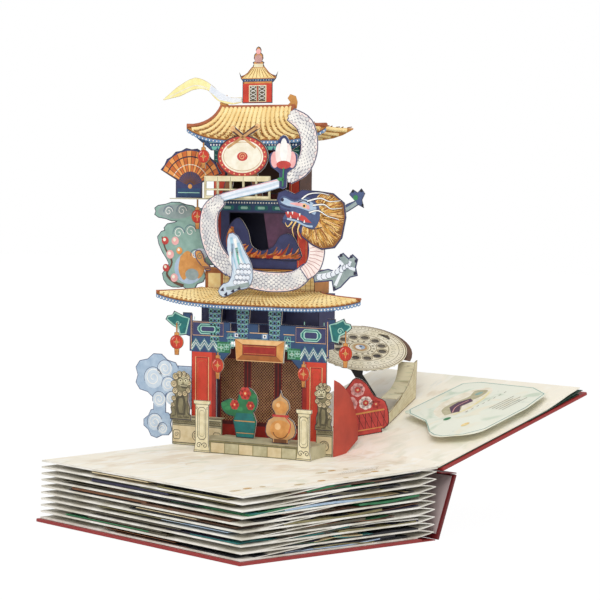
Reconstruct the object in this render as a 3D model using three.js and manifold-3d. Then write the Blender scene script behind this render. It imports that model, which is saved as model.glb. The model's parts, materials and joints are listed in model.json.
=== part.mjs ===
// An open pop-up book: a case of two boards and a spine, a pile of folded card spreads,
// and on the open spread a paper palace with a dragon and a turning sky dial.
// Millimetres, +Z up. The origin is on the front cover's underside, below the middle of the
// left page. +X runs from the fore-edge of the pile to the gutter, +Y along the spine.
import * as THREE from "three";
import { mergeVertices } from "three/addons/utils/BufferGeometryUtils.js";
import Module from "manifold-3d";

const wasm = await Module();
wasm.setup();

// Card, glue gaps and running gaps
const CARD = 0.8;
const GLUE_GAP = 0.3;
const LAYER = CARD + GLUE_GAP;
const FOLD_GAP = 0.8;

// Corners are rounded to this grid before pieces are joined
const GRID = 0.001;

// Case
const BOARD = 3;
const BOARD_HEIGHT = 287;
const FRONT_BOARD_LEFT = -131;
const FRONT_BOARD_RIGHT = 106;
const BOARD_CORNER = 2;
const GROOVE_CLOTH = 1;
const SPINE_FOOT_X = 126.6;
const SPINE_LENGTH = 65;
const SPINE_LEAN = THREE.MathUtils.degToRad(19.9);
const LINING = 0.6;
const BACK_BOARD_WIDTH = 233;
const BACK_BOARD_START = 3.5;

// Pile of spreads
const PAGE_WIDTH = 255;
const PAGE_HEIGHT = 281;
const FORE_EDGE_TOP = 60;
const GUTTER_TOP = 70;
const SPREADS = 9;
const LEAF = 1.6;
const FOLD_REACH = 26;
const FOLD_OPENING = 2.6;
const INSERT = 0.7;

// Open spread, right half
const OPENING_ANGLE = THREE.MathUtils.degToRad(16.3);
const RIGHT_PAGE_WIDTH = 229;
const RIGHT_PAGE_END_LIFT = 5;
const UNDERLAY_START = 165;

// Palace frame: it stands on the left page, turned from the gutter
const PALACE_TURN = THREE.MathUtils.degToRad(-72);
const PAGE_SLOPE = Math.atan2(GUTTER_TOP - FORE_EDGE_TOP, PAGE_WIDTH);

const BASKET_TURN = THREE.MathUtils.degToRad(-41.5);

const COLOURS = {
  cloth: 0xb5332f,
  clothDark: 0x8a1f22,
  paper: 0xf1ead2,
  lining: 0xb9a7a3,
  underlay: 0x2f4a40,
  stone: 0xb7ae8c,
  red: 0xb02a22,
  darkRed: 0x4e1414,
  blue: 0x2e4a72,
  navy: 0x2b2d4f,
  teal: 0x2f7f78,
  gold: 0xc78a3c,
  tile: 0xe6c877,
  cloud: 0xa9bccb,
  cloudTeal: 0x8fb0a6,
  scale: 0xd9d5cc,
  mane: 0xc2913a,
  leaf: 0x2f6d4c,
  pink: 0xd98f8f,
  tan: 0xc7a06a,
  ivory: 0xe9ddb4,
  wood: 0x8a7a55,
  mauve: 0x5d3a55,
};

const book = new THREE.Group();
book.name = "childrens_book";

// Solid helpers
function solid(geometry) {
  const plain = geometry.clone();
  plain.deleteAttribute("normal");
  plain.deleteAttribute("uv");
  const places = plain.attributes.position.array;
  places.forEach((value, i) => (places[i] = Math.round(value / GRID) * GRID));
  const merged = mergeVertices(plain, GRID / 10);
  return new wasm.Manifold(
    new wasm.Mesh({
      numProp: 3,
      vertProperties: new Float32Array(merged.attributes.position.array),
      triVerts: new Uint32Array(merged.index.array),
    }),
  );
}

function geometryOf(manifold) {
  const mesh = manifold.getMesh();
  const geometry = new THREE.BufferGeometry();
  geometry.setAttribute("position", new THREE.BufferAttribute(mesh.vertProperties, 3));
  geometry.setIndex(new THREE.BufferAttribute(mesh.triVerts, 1));
  geometry.computeVertexNormals();
  return geometry;
}

function joined(geometries) {
  return geometryOf(geometries.map(solid).reduce((whole, next) => whole.add(next)));
}

function cut(geometry, cutters) {
  return geometryOf(cutters.map(solid).reduce((whole, cutter) => whole.subtract(cutter), solid(geometry)));
}

function piece(parent, name, geometry, colour, roughness = 0.7) {
  const material = new THREE.MeshStandardMaterial({ color: colour, roughness, metalness: 0 });
  const mesh = new THREE.Mesh(geometry, material);
  mesh.name = name;
  parent.add(mesh);
  return mesh;
}

// A box given by its lowest and highest corners
function block(low, high) {
  const size = high.map((value, axis) => value - low[axis]);
  const middle = high.map((value, axis) => (value + low[axis]) / 2);
  return new THREE.BoxGeometry(...size).translate(...middle);
}

// An outline drawn from straight corners
function corners(points) {
  return new THREE.Shape(points.map(([x, y]) => new THREE.Vector2(x, y)));
}

// An outline drawn as one closed smooth curve
function smooth(points, steps = 4) {
  const curve = new THREE.CatmullRomCurve3(
    points.map(([x, y]) => new THREE.Vector3(x, y, 0)),
    true,
    "catmullrom",
    0.5,
  );
  return new THREE.Shape(curve.getPoints(points.length * steps).slice(0, -1).map((p) => new THREE.Vector2(p.x, p.y)));
}

function ellipse(x, y, rx, ry, segments = 20) {
  const points = [];
  for (let i = 0; i < segments; i += 1) {
    const angle = (i / segments) * 2 * Math.PI;
    points.push([x + rx * Math.cos(angle), y + ry * Math.sin(angle)]);
  }
  return corners(points);
}

// A flat shape stood up: its x stays, its y becomes height, its thickness runs back from depth
const STAND_UP = new THREE.Matrix4().set(1, 0, 0, 0, 0, 0, -1, 0, 0, 1, 0, 0, 0, 0, 0, 1);

function upright(shape, depth, thickness = CARD) {
  const geometry = new THREE.ExtrudeGeometry(shape, { depth: thickness, bevelEnabled: false, curveSegments: 8 });
  return geometry.applyMatrix4(STAND_UP).translate(0, depth + thickness, 0);
}

// A stood-up card with windows cut through it
function pierced(shape, windows, depth, thickness = CARD) {
  const cutters = windows.map((window) => upright(window, depth - thickness, 3 * thickness));
  return cut(upright(shape, depth, thickness), cutters);
}

function rectangle(left, low, right, high) {
  return corners([
    [left, low],
    [right, low],
    [right, high],
    [left, high],
  ]);
}

// A section in the XZ plane, drawn out along Y
function section(shape, from, to) {
  const geometry = new THREE.ExtrudeGeometry(shape, { depth: to - from, bevelEnabled: false, curveSegments: 8 });
  return geometry.applyMatrix4(STAND_UP).translate(0, to, 0);
}

// A straight strip of the given thickness between two points of a section
function strip(start, end, thickness) {
  const direction = new THREE.Vector2(end[0] - start[0], end[1] - start[1]).normalize();
  const side = new THREE.Vector2(-direction.y, direction.x).multiplyScalar(thickness / 2);
  return corners([
    [start[0] - side.x, start[1] - side.y],
    [end[0] - side.x, end[1] - side.y],
    [end[0] + side.x, end[1] + side.y],
    [start[0] + side.x, start[1] + side.y],
  ]);
}

// A bent sheet: rows of points make the upper side, and the lower side lies thickness below
function bentSheet(rows, thickness) {
  const positions = [];
  const index = [];
  const columns = rows[0].length;
  const count = rows.length * columns;
  for (const drop of [0, thickness]) {
    for (const row of rows) {
      for (const [x, y, z] of row) positions.push(x, y, z - drop);
    }
  }
  const face = (a, b, c, d) => index.push(a, b, c, a, c, d);
  for (let r = 0; r < rows.length - 1; r += 1) {
    for (let c = 0; c < columns - 1; c += 1) {
      const a = r * columns + c;
      face(a, a + 1, a + columns + 1, a + columns);
      face(a + count, a + columns + count, a + columns + 1 + count, a + 1 + count);
    }
  }
  const rim = [];
  for (let c = 0; c < columns - 1; c += 1) rim.push(c);
  for (let r = 0; r < rows.length - 1; r += 1) rim.push(r * columns + columns - 1);
  for (let c = columns - 1; c > 0; c -= 1) rim.push((rows.length - 1) * columns + c);
  for (let r = rows.length - 1; r > 0; r -= 1) rim.push(r * columns);
  rim.forEach((a, i) => {
    const b = rim[(i + 1) % rim.length];
    face(a, a + count, b + count, b);
  });
  const geometry = new THREE.BufferGeometry();
  geometry.setAttribute("position", new THREE.Float32BufferAttribute(positions, 3));
  geometry.setIndex(index);
  geometry.computeVertexNormals();
  return geometry;
}

// A band of even width that follows a smooth centre line, tapering to its ends if asked
function band(points, widths, steps = 5) {
  const curve = new THREE.CatmullRomCurve3(points.map(([x, y]) => new THREE.Vector3(x, y, 0)));
  const total = (points.length - 1) * steps;
  const near = [];
  const far = [];
  for (let i = 0; i <= total; i += 1) {
    const t = i / total;
    const place = curve.getPoint(t);
    const along = curve.getTangent(t);
    const slot = t * (widths.length - 1);
    const left = Math.min(Math.floor(slot), widths.length - 2);
    const half = THREE.MathUtils.lerp(widths[left], widths[left + 1], slot - left) / 2;
    near.push([place.x - along.y * half, place.y + along.x * half]);
    far.unshift([place.x + along.y * half, place.y - along.x * half]);
  }
  return corners([...near, ...far]);
}

// Case: front board, spine board with its lining, joint cloths and back board
function boardOutline(width, height) {
  const shape = new THREE.Shape();
  const r = BOARD_CORNER;
  shape.moveTo(0, -height / 2);
  shape.lineTo(width - r, -height / 2);
  shape.quadraticCurveTo(width, -height / 2, width, -height / 2 + r);
  shape.lineTo(width, height / 2 - r);
  shape.quadraticCurveTo(width, height / 2, width - r, height / 2);
  shape.lineTo(0, height / 2);
  return shape;
}

function makeCase() {
  const front = new THREE.ExtrudeGeometry(
    boardOutline(FRONT_BOARD_RIGHT - FRONT_BOARD_LEFT, BOARD_HEIGHT),
    { depth: BOARD, bevelEnabled: false, curveSegments: 3 },
  );
  front.rotateZ(Math.PI);
  front.translate(FRONT_BOARD_RIGHT, 0, 0);
  const groove = strip(
    [FRONT_BOARD_RIGHT - GROOVE_CLOTH, GROOVE_CLOTH / 2],
    [SPINE_FOOT_X - GLUE_GAP - GROOVE_CLOTH / 2, GROOVE_CLOTH / 2],
    GROOVE_CLOTH,
  );
  const half = BOARD_HEIGHT / 2;
  piece(book, "front_cover", joined([front, section(groove, -half, half)]), COLOURS.cloth, 0.6);

  const spine = new THREE.Group();
  spine.position.set(SPINE_FOOT_X + GROOVE_CLOTH, 0, 0);
  spine.rotation.y = SPINE_LEAN;
  book.add(spine);
  const foot = BOARD * Math.tan(SPINE_LEAN);
  piece(spine, "spine_board", block([0, -half, foot], [BOARD, half, SPINE_LENGTH + foot]), COLOURS.clothDark, 0.6);
  const liningTop = SPINE_LENGTH - GROOVE_CLOTH - GLUE_GAP;
  piece(
    spine,
    "spine_lining",
    block([-GLUE_GAP - LINING, -PAGE_HEIGHT / 2, 2 * BOARD], [-GLUE_GAP, PAGE_HEIGHT / 2, liningTop]),
    COLOURS.lining,
    0.9,
  );
  // The joint cloth runs from the spine's top edge back to the groove under the gutter
  const top = new THREE.Vector2(
    SPINE_FOOT_X + GROOVE_CLOTH + (SPINE_LENGTH + foot) * Math.sin(SPINE_LEAN),
    (SPINE_LENGTH + foot) * Math.cos(SPINE_LEAN),
  );
  const grooveEnd = [PAGE_WIDTH / 2 + 1.5, GUTTER_TOP - 5.2];
  const cloth = strip([top.x + 2, top.y + GLUE_GAP + GROOVE_CLOTH / 2], grooveEnd, GROOVE_CLOTH);
  piece(book, "back_joint_cloth", section(cloth, -half, half), COLOURS.clothDark, 0.6);
}

// Pile: every spread is a V of card, glued back to back to the next one
function makePageBlock() {
  const left = -PAGE_WIDTH / 2;
  const right = PAGE_WIDTH / 2;
  const bottom = BOARD + GLUE_GAP + LEAF / 2;
  const heightAt = (share, x) => {
    const across = (x - left) / PAGE_WIDTH;
    const top = THREE.MathUtils.lerp(FORE_EDGE_TOP, GUTTER_TOP, across) - LEAF / 2;
    return THREE.MathUtils.lerp(bottom, top, share);
  };
  const parts = [];
  const half = PAGE_HEIGHT / 2;
  const bend = right - FOLD_REACH;
  for (let i = 0; i <= SPREADS; i += 1) {
    const share = i / SPREADS;
    parts.push(strip([left, heightAt(share, left)], [bend + LEAF, heightAt(share, bend)], LEAF));
    for (const side of [-1, 1]) {
      const fold = i + side / 2;
      if (fold < 0 || fold > SPREADS) continue;
      const tip = [right - LEAF, heightAt(fold / SPREADS, right)];
      const belly = [right - FOLD_REACH / 3, tip[1] - side * FOLD_OPENING / 2];
      parts.push(strip([bend, heightAt(share, bend)], belly, CARD));
      parts.push(strip(belly, [tip[0] + CARD / 2, tip[1] + side * CARD / 4], CARD));
    }
    // Folded pop-ups lie between the leaves and lean from one leaf to the next
    if (i < SPREADS) {
      const from = left + 4 + (i % 3) * 9;
      const to = from + 90 + (i % 4) * 14;
      parts.push(strip([from, heightAt(share, from)], [to, heightAt((i + 1) / SPREADS, to)], INSERT));
    }
  }
  // The gutter edge of the open page
  parts.push(strip([bend, heightAt(1, bend)], [right, GUTTER_TOP - LEAF / 2], LEAF));
  piece(book, "page_block", joined(parts.map((shape) => section(shape, -half, half))), COLOURS.paper, 0.9);
}

// Right half of the open spread, on the back board, hinged at the groove
const rightHalf = new THREE.Group();
rightHalf.position.set(PAGE_WIDTH / 2, 0, GUTTER_TOP);
rightHalf.rotation.y = -OPENING_ANGLE;
book.add(rightHalf);

// What stands upright on the tilted page is placed in this frame, which is level again
const upper = new THREE.Group();
upper.rotation.y = OPENING_ANGLE;
rightHalf.add(upper);

function liftAt(across, along) {
  const reach = THREE.MathUtils.smoothstep(across, UNDERLAY_START, RIGHT_PAGE_WIDTH);
  return reach * RIGHT_PAGE_END_LIFT * (1 - along * 0.35);
}

function makeRightHalf() {
  const board = new THREE.ExtrudeGeometry(boardOutline(BACK_BOARD_WIDTH, BOARD_HEIGHT), {
    depth: BOARD,
    bevelEnabled: false,
    curveSegments: 3,
  });
  const underside = -2 * CARD - 2 * GLUE_GAP - BOARD;
  board.translate(BACK_BOARD_START, 0, underside);
  piece(rightHalf, "back_cover", board, COLOURS.cloth, 0.6);

  const half = PAGE_HEIGHT / 2;
  const underlay = block(
    [BACK_BOARD_START, -half, -2 * CARD - GLUE_GAP],
    [RIGHT_PAGE_WIDTH - BOARD, half, -CARD - GLUE_GAP],
  );
  piece(rightHalf, "endpaper", underlay, COLOURS.underlay, 0.9);

  const across = 12;
  const along = 4;
  const rows = [];
  for (let j = 0; j <= along; j += 1) {
    const y = THREE.MathUtils.lerp(-half, half, j / along);
    const row = [];
    for (let i = 0; i <= across; i += 1) {
      const x = THREE.MathUtils.lerp(FOLD_GAP, RIGHT_PAGE_WIDTH, i / across);
      row.push([x, y, liftAt(x, j / along)]);
    }
    rows.push(row);
  }
  piece(rightHalf, "right_page", bentSheet(rows, CARD), COLOURS.paper, 0.9);
}

// A booklet leaf with a tab, lying on the right page and curling up at its free end
const LEAF_TOP = 9;
function makeStoryLeaf() {
  const outline = new THREE.Shape();
  outline.moveTo(108, -12);
  outline.quadraticCurveTo(98, -10, 97, -22);
  outline.lineTo(84, -54);
  outline.quadraticCurveTo(80, -64, 72, -68);
  outline.lineTo(58, -82);
  outline.quadraticCurveTo(48, -92, 52, -104);
  outline.lineTo(62, -121);
  outline.quadraticCurveTo(70, -133, 84, -134);
  outline.lineTo(150, -134);
  outline.lineTo(192, -126);
  outline.lineTo(206, -100);
  outline.lineTo(206, -30);
  outline.lineTo(196, -12);
  const points = outline.getPoints(5);
  const shape = new THREE.Shape(points);
  const flat = new THREE.ExtrudeGeometry(shape, { depth: CARD, bevelEnabled: false });
  flat.translate(0, 0, LEAF_TOP - CARD);
  // A folded pad lifts the leaf off the page
  const spacer = block([112, -116, GLUE_GAP], [150, -40, LEAF_TOP - CARD / 2]);
  piece(rightHalf, "story_leaf", joined([flat, spacer]), COLOURS.paper, 0.9);
}

// Sky dial: a round face over a scalloped wheel, carried on an arched paper base
const DIAL = { across: 138, along: 73, height: 60, radius: 50, tilt: THREE.MathUtils.degToRad(18.4) };
const DIAL_PLATE = 0.9;
const WHEEL_GAP = 0.4;
const HUB_RADIUS = 6;
const WINDOW_RING = 24;
const WINDOW_RADIUS = 4.6;
const WINDOWS = 12;
const HOLE_RING = 14.5;
const HOLE_RADIUS = 1.7;
const HOLES = 14;
const SCALLOPS = 36;
const SCALLOP_DEPTH = 1.4;
const HUB_CLEARANCE = 0.4;
const CARRIER = { radius: 38, reach: 56, from: -1.15, to: 0.7, steps: 12 };

function ring(count, radius, make) {
  return Array.from({ length: count }, (_, i) => {
    const angle = (i / count) * 2 * Math.PI;
    return make(radius * Math.cos(angle), radius * Math.sin(angle));
  });
}

function disc(shape, holes, bottom, thickness) {
  holes.forEach((hole) => shape.holes.push(new THREE.Path(hole.getPoints().reverse())));
  const geometry = new THREE.ExtrudeGeometry(shape, { depth: thickness, bevelEnabled: false });
  return geometry.translate(0, 0, bottom);
}

function makeDial() {
  const dial = new THREE.Group();
  dial.position.set(DIAL.across, DIAL.along, DIAL.height);
  dial.rotation.x = DIAL.tilt;
  rightHalf.add(dial);
  const windows = ring(WINDOWS, WINDOW_RING, (x, y) => ellipse(x, y, WINDOW_RADIUS, WINDOW_RADIUS, 12));
  const holes = ring(HOLES, HOLE_RING, (x, y) => ellipse(x, y, HOLE_RADIUS, HOLE_RADIUS, 6));
  const moon = band([[38, 8], [41, 0], [38, -8]], [2, 7, 2], 3);
  const face = disc(ellipse(0, 0, DIAL.radius, DIAL.radius, 64), [...windows, ...holes, moon], 0, DIAL_PLATE);
  piece(dial, "dial_face", face, COLOURS.ivory, 0.8);

  const scalloped = [];
  for (let i = 0; i < SCALLOPS * 4; i += 1) {
    const angle = (i / (SCALLOPS * 4)) * 2 * Math.PI;
    const radius = DIAL.radius - 1 - SCALLOP_DEPTH * (0.5 - 0.5 * Math.cos((i % 4) * (Math.PI / 2)));
    scalloped.push([radius * Math.cos(angle), radius * Math.sin(angle)]);
  }
  const bore = ellipse(0, 0, HUB_RADIUS + HUB_CLEARANCE, HUB_RADIUS + HUB_CLEARANCE, 24);
  const wheelBottom = -WHEEL_GAP - DIAL_PLATE;
  piece(dial, "dial_wheel", disc(corners(scalloped), [bore], wheelBottom, DIAL_PLATE), COLOURS.wood, 0.8);

  // Carrier: a plate below the wheel with a lobe out to the wall's corner, and the collar of the hub
  const carrierTop = wheelBottom - WHEEL_GAP;
  const hub = new THREE.CylinderGeometry(HUB_RADIUS, HUB_RADIUS, -carrierTop - GLUE_GAP + CARD / 2, 24);
  hub.rotateX(Math.PI / 2).translate(0, 0, (carrierTop - GLUE_GAP - CARD / 2) / 2);
  const rimPoints = [];
  for (let i = 0; i <= CARRIER.steps; i += 1) {
    const angle = THREE.MathUtils.lerp(CARRIER.from, CARRIER.to, i / CARRIER.steps);
    rimPoints.push([CARRIER.reach * Math.cos(angle), CARRIER.reach * Math.sin(angle)]);
  }
  const lobe = disc(corners([[0, 0], ...rimPoints]), [], carrierTop - CARD, CARD);
  const plate = disc(ellipse(0, 0, CARRIER.radius, CARRIER.radius, 32), [], carrierTop - CARD, CARD);
  piece(dial, "dial_carrier", joined([hub, plate, lobe]), COLOURS.wood, 0.8);
}

// Base of the dial: an arched wall with its soffit and one crossed leg, upright on the right page
const DIAL_BASE = { x: 153.8, y: 24.9, length: 94, height: 41, scoop: 8, low: 12, turn: 0.38 };

function makeDialBase() {
  const d = DIAL_BASE;
  const slope = Math.tan(OPENING_ANGLE);
  const fall = d.length * Math.cos(d.turn) * slope;
  const wall = new THREE.Group();
  wall.position.set(d.x, d.y, d.x * slope + GLUE_GAP);
  wall.rotation.z = d.turn;
  upper.add(wall);
  const scoop = new THREE.Shape();
  scoop.moveTo(-d.length, GLUE_GAP - fall);
  scoop.lineTo(0, GLUE_GAP);
  scoop.lineTo(0, d.height);
  scoop.lineTo(-d.scoop, d.height - 2);
  scoop.quadraticCurveTo(-d.scoop - 8, d.low - 2, -d.length, d.low - fall);
  const front = upright(scoop, 0);
  const soffitLine = [
    [-d.scoop, d.height - 2.4],
    [-d.scoop - 6, d.height - 19],
    [-d.scoop - 22, d.low - 1],
    [-d.scoop - 50, d.low - 9],
  ];
  const soffit = section(band(soffitLine, [CARD, CARD], 4), 0, 18);
  const returnWall = block([-CARD, 0, 4], [0, 16, d.height - 6]);
  piece(wall, "dial_wall", joined([front, soffit, returnWall]), COLOURS.ivory, 0.8);

  const legs = new THREE.Group();
  legs.position.set(DIAL.across - 8, DIAL.along, 0);
  rightHalf.add(legs);
  const below = 2 * WHEEL_GAP + DIAL_PLATE + CARD + 2 * GLUE_GAP;
  const top = DIAL.height - below / Math.cos(DIAL.tilt);
  const crossed = [
    upright(corners([[-22, GLUE_GAP], [-10, GLUE_GAP], [18, top], [8, top]]), 0),
    upright(corners([[10, GLUE_GAP], [22, GLUE_GAP], [-8, top], [-18, top]]), 0),
  ];
  piece(legs, "dial_legs", joined(crossed), COLOURS.wood, 0.8);
}

// Palace: a group that stands square on the sloping left page, x across, y back, z up
const page = new THREE.Group();
page.position.set(0, 0, (FORE_EDGE_TOP + GUTTER_TOP) / 2);
page.rotation.y = -PAGE_SLOPE;
book.add(page);
const palace = new THREE.Group();
palace.rotation.z = PALACE_TURN;
page.add(palace);

function card(name, colour, shape, depth, windows = []) {
  return piece(palace, name, windows.length ? pierced(shape, windows, depth) : upright(shape, depth), colour, 0.75);
}

// Terrace and stair
const TERRACE = { depth: 82, left: -122, right: 60, height: 30, floor: 13, gapLeft: -64, gapRight: 42 };
const STAIR = { depth: 47, left: -74, right: 53, back: 89.7 };
const GATE_DEPTH = 90;

function makeTerrace() {
  const t = TERRACE;
  const low = t.floor - LAYER;
  const outline = corners([
    [t.left, GLUE_GAP],
    [t.right, GLUE_GAP],
    [t.right, t.height],
    [t.gapRight, t.height],
    [t.gapRight, low],
    [t.gapLeft, low],
    [t.gapLeft, t.height],
    [t.left, t.height],
  ]);
  const parts = [
    upright(outline, t.depth),
    block([t.left, t.depth, GLUE_GAP], [t.left + CARD, GATE_DEPTH + 22, t.height]),
    block([t.left, t.depth, t.height - CARD], [t.gapLeft, GATE_DEPTH - GLUE_GAP, t.height]),
    block([t.gapRight + CARD, t.depth, t.height - CARD], [t.right, GATE_DEPTH - GLUE_GAP, t.height]),
  ];
  piece(palace, "terrace", joined(parts), COLOURS.stone, 0.8);

  const s = STAIR;
  const walls = [
    block([s.left, s.depth, GLUE_GAP], [s.right, s.depth + CARD, t.floor]),
    block([s.left, s.depth, GLUE_GAP], [s.left + CARD, t.depth - GLUE_GAP, t.floor]),
    block([s.right - CARD, s.depth, GLUE_GAP], [s.right, t.depth - GLUE_GAP, t.floor]),
    block([s.left, s.depth, t.floor - CARD], [s.right, t.depth - GLUE_GAP, t.floor]),
    block([t.gapLeft + GLUE_GAP, s.depth, t.floor - CARD], [t.gapRight - GLUE_GAP, s.back, t.floor]),
  ];
  piece(palace, "stair", joined(walls), COLOURS.stone, 0.8);

  const newels = [
    ["newel_left", -76, -57, 52],
    ["newel_right", 38, 55, 50],
  ];
  for (const [name, left, right, height] of newels) {
    const inset = 2;
    const shape = corners([
      [left, GLUE_GAP],
      [right, GLUE_GAP],
      [right - inset, 9],
      [right - inset, height - 5],
      [right, height - 3],
      [right, height],
      [left, height],
      [left, height - 3],
      [left + inset, height - 5],
      [left + inset, 9],
    ]);
    card(name, COLOURS.ivory, shape, s.depth - LAYER);
  }
}

// Seated guardian lion on a plinth, cut from one card, x grows from its back to its chest
function lionOutline(middle, foot, width, height, face) {
  const w = width / 2;
  const shares = [
    [-1, 0], [1, 0], [1, 0.1], [0.86, 0.14], [0.9, 0.26], [0.7, 0.4], [0.74, 0.56], [0.92, 0.66],
    [0.9, 0.84], [0.62, 0.98], [0.2, 1], [-0.3, 0.96], [-0.66, 0.82], [-0.7, 0.62], [-0.52, 0.48],
    [-0.78, 0.34], [-0.96, 0.24], [-0.86, 0.14], [-1, 0.1],
  ];
  const points = shares.map(([x, y]) => [middle + x * w * face, foot + y * height]);
  return corners(face > 0 ? points : points.reverse());
}

// Gate: two posts, a painted beam with curled ends, and three bracket stacks
const GATE = {
  leftPost: [-104, -75],
  rightPost: [22, 49],
  beamFoot: 96,
  beamHead: 127,
  bracketHead: 149.4,
  doorHead: 108,
};

function makeGate() {
  const g = GATE;
  const [l0, l1] = g.leftPost;
  const [r0, r1] = g.rightPost;
  const arch = 16;
  const shape = new THREE.Shape();
  shape.moveTo(l0, GLUE_GAP);
  shape.lineTo(l1, GLUE_GAP);
  shape.lineTo(l1, g.beamFoot - arch);
  shape.lineTo(l1 + arch / 2, g.beamFoot - arch / 2);
  shape.lineTo(l1 + arch, g.beamFoot);
  shape.lineTo(l1 + arch, g.doorHead);
  shape.lineTo(r0 - arch, g.doorHead);
  shape.lineTo(r0 - arch, g.beamFoot);
  shape.lineTo(r0 - arch / 2, g.beamFoot - arch / 2);
  shape.lineTo(r0, g.beamFoot - arch);
  shape.lineTo(r0, GLUE_GAP);
  shape.lineTo(r1, GLUE_GAP);
  shape.lineTo(r1, g.beamHead - 17);
  // Right beam end curls up
  const curl = [
    [6, -15], [12, -16], [14, -9], [20, -6], [27, 0], [25, 4], [20, 5], [18, 9], [9, 5], [9, 8], [0, 8],
  ];
  curl.forEach(([x, y]) => shape.lineTo(r1 + x, g.beamHead + y));
  shape.lineTo(r1, g.beamHead);
  shape.lineTo(l0, g.beamHead);
  [...curl].reverse().forEach(([x, y]) => shape.lineTo(l0 - x * 1.15, g.beamHead + y));
  shape.lineTo(l0, g.beamHead - 17);
  const windows = [rectangle(-59, 118, -45, 126), rectangle(-27, 118, -13, 126)];
  const stacks = [-77, -45, -9].map((x) =>
    upright(corners([[x - 7, g.beamHead - 4], [x + 7, g.beamHead - 4], [x + 9, g.bracketHead], [x - 9, g.bracketHead]]), GATE_DEPTH),
  );
  piece(palace, "gate_front", joined([pierced(shape, windows, GATE_DEPTH), ...stacks]), COLOURS.blue, 0.75);

  const plaque = corners([[-51, 89], [2, 89], [3.5, 111], [-52.5, 111]]);
  const frame = upright(plaque, GATE_DEPTH - LAYER - 2 * CARD, 3 * CARD);
  const recess = upright(corners([[-43, 96], [-6, 96], [-6, 105], [-43, 105]]), GATE_DEPTH - 6 * CARD, 3 * CARD);
  piece(palace, "name_board", cut(frame, [recess]), COLOURS.gold, 0.6);

  const doors = corners([[-88, GLUE_GAP], [10, GLUE_GAP], [10, 100], [-88, 100]]);
  card("lattice_doors", COLOURS.darkRed, doors, 116);
}

// Side wall: a quarter disc that runs back from the terrace over the gutter
function makeSideWall() {
  const start = TERRACE.depth + CARD + GLUE_GAP;
  const wall = new THREE.Shape();
  const foldY = 111;
  wall.moveTo(start, GLUE_GAP);
  wall.lineTo(foldY, GLUE_GAP);
  wall.lineTo(138, 11);
  wall.lineTo(139, 20);
  wall.quadraticCurveTo(128, 64, start, 76);
  const geometry = new THREE.ExtrudeGeometry(wall, { depth: CARD, bevelEnabled: false, curveSegments: 8 });
  geometry.rotateX(Math.PI / 2);
  geometry.rotateZ(Math.PI / 2);
  piece(palace, "side_wall", geometry.translate(TERRACE.right + GLUE_GAP, 0, 0), COLOURS.red, 0.75);
}

// Lantern: a round body with a cap and a tassel
function lanternOutline(x, top, width, height, cord) {
  const r = width / 2;
  const tassel = height * 0.26;
  const cap = height * 0.1;
  const middle = top - cap - (height - tassel - cap) / 2;
  const ry = (height - tassel - cap) / 2;
  const points = [];
  for (let i = 0; i <= 8; i += 1) {
    const angle = -1.2 + (i / 8) * 2.4;
    points.push([x + r * Math.cos(angle), middle + ry * Math.sin(angle)]);
  }
  points.push([x + r * 0.35, top], [x + CARD, top + 0.5], [x + CARD, top + cord]);
  points.push([x - CARD, top + cord], [x - CARD, top + 0.5], [x - r * 0.35, top]);
  for (let i = 0; i <= 8; i += 1) {
    const angle = Math.PI - 1.2 + (i / 8) * 2.4;
    points.push([x + r * Math.cos(angle), middle + ry * Math.sin(angle)]);
  }
  points.push([x - r * 0.3, top - height], [x + r * 0.3, top - height]);
  return corners(points);
}

const LANTERNS = [
  ["lantern_gate_left", -121, 114, 16, 23, 10, GATE_DEPTH - LAYER],
  ["lantern_gate_right", 69.5, 112, 15, 24, 12, GATE_DEPTH - LAYER],
  ["lantern_post_left", -73, 93, 14, 24, 3, GATE_DEPTH - LAYER],
  ["lantern_post_right", 24, 89, 13, 23, 3, GATE_DEPTH - LAYER],
  ["lantern_deck", -106, 241, 14, 22, 7.9, 104],
  ["lantern_eave", -94, 301, 14, 21, 5, 94.9],
];

// Lower roof: a hipped front slope with lifted corners, and the tiled box that it leans on
const LOWER_ROOF = { front: 78, back: 109.7, left: -139, right: 90, eave: 146, head: 158, tipLift: 9 };
const ROOF_BOX = { left: -104, right: 30, front: 110, back: 146, foot: 100, leg: 5, tie: 128 };
const HOOD = { left: -101, right: 24, front: 112, back: 144, foot: 158.5, head: 180 };

function roofRows(spec, rowsCount, columns, headLeft, headRight) {
  const rows = [];
  for (let j = 0; j <= rowsCount; j += 1) {
    const t = j / rowsCount;
    const flare = (1 - t) ** 2;
    const left = headLeft + (spec.left - headLeft) * flare;
    const right = headRight + (spec.right - headRight) * flare;
    const row = [];
    for (let i = 0; i <= columns; i += 1) {
      const u = i / columns;
      const edge = Math.abs(2 * u - 1);
      const lift = spec.tipLift * (1 - t) * edge ** 4;
      const rise = THREE.MathUtils.lerp(spec.eave, spec.head, spec.curve ? t ** spec.curve : t);
      row.push([left + (right - left) * u, THREE.MathUtils.lerp(spec.front, spec.back, t), rise + lift]);
    }
    rows.push(row);
  }
  return rows;
}

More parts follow.
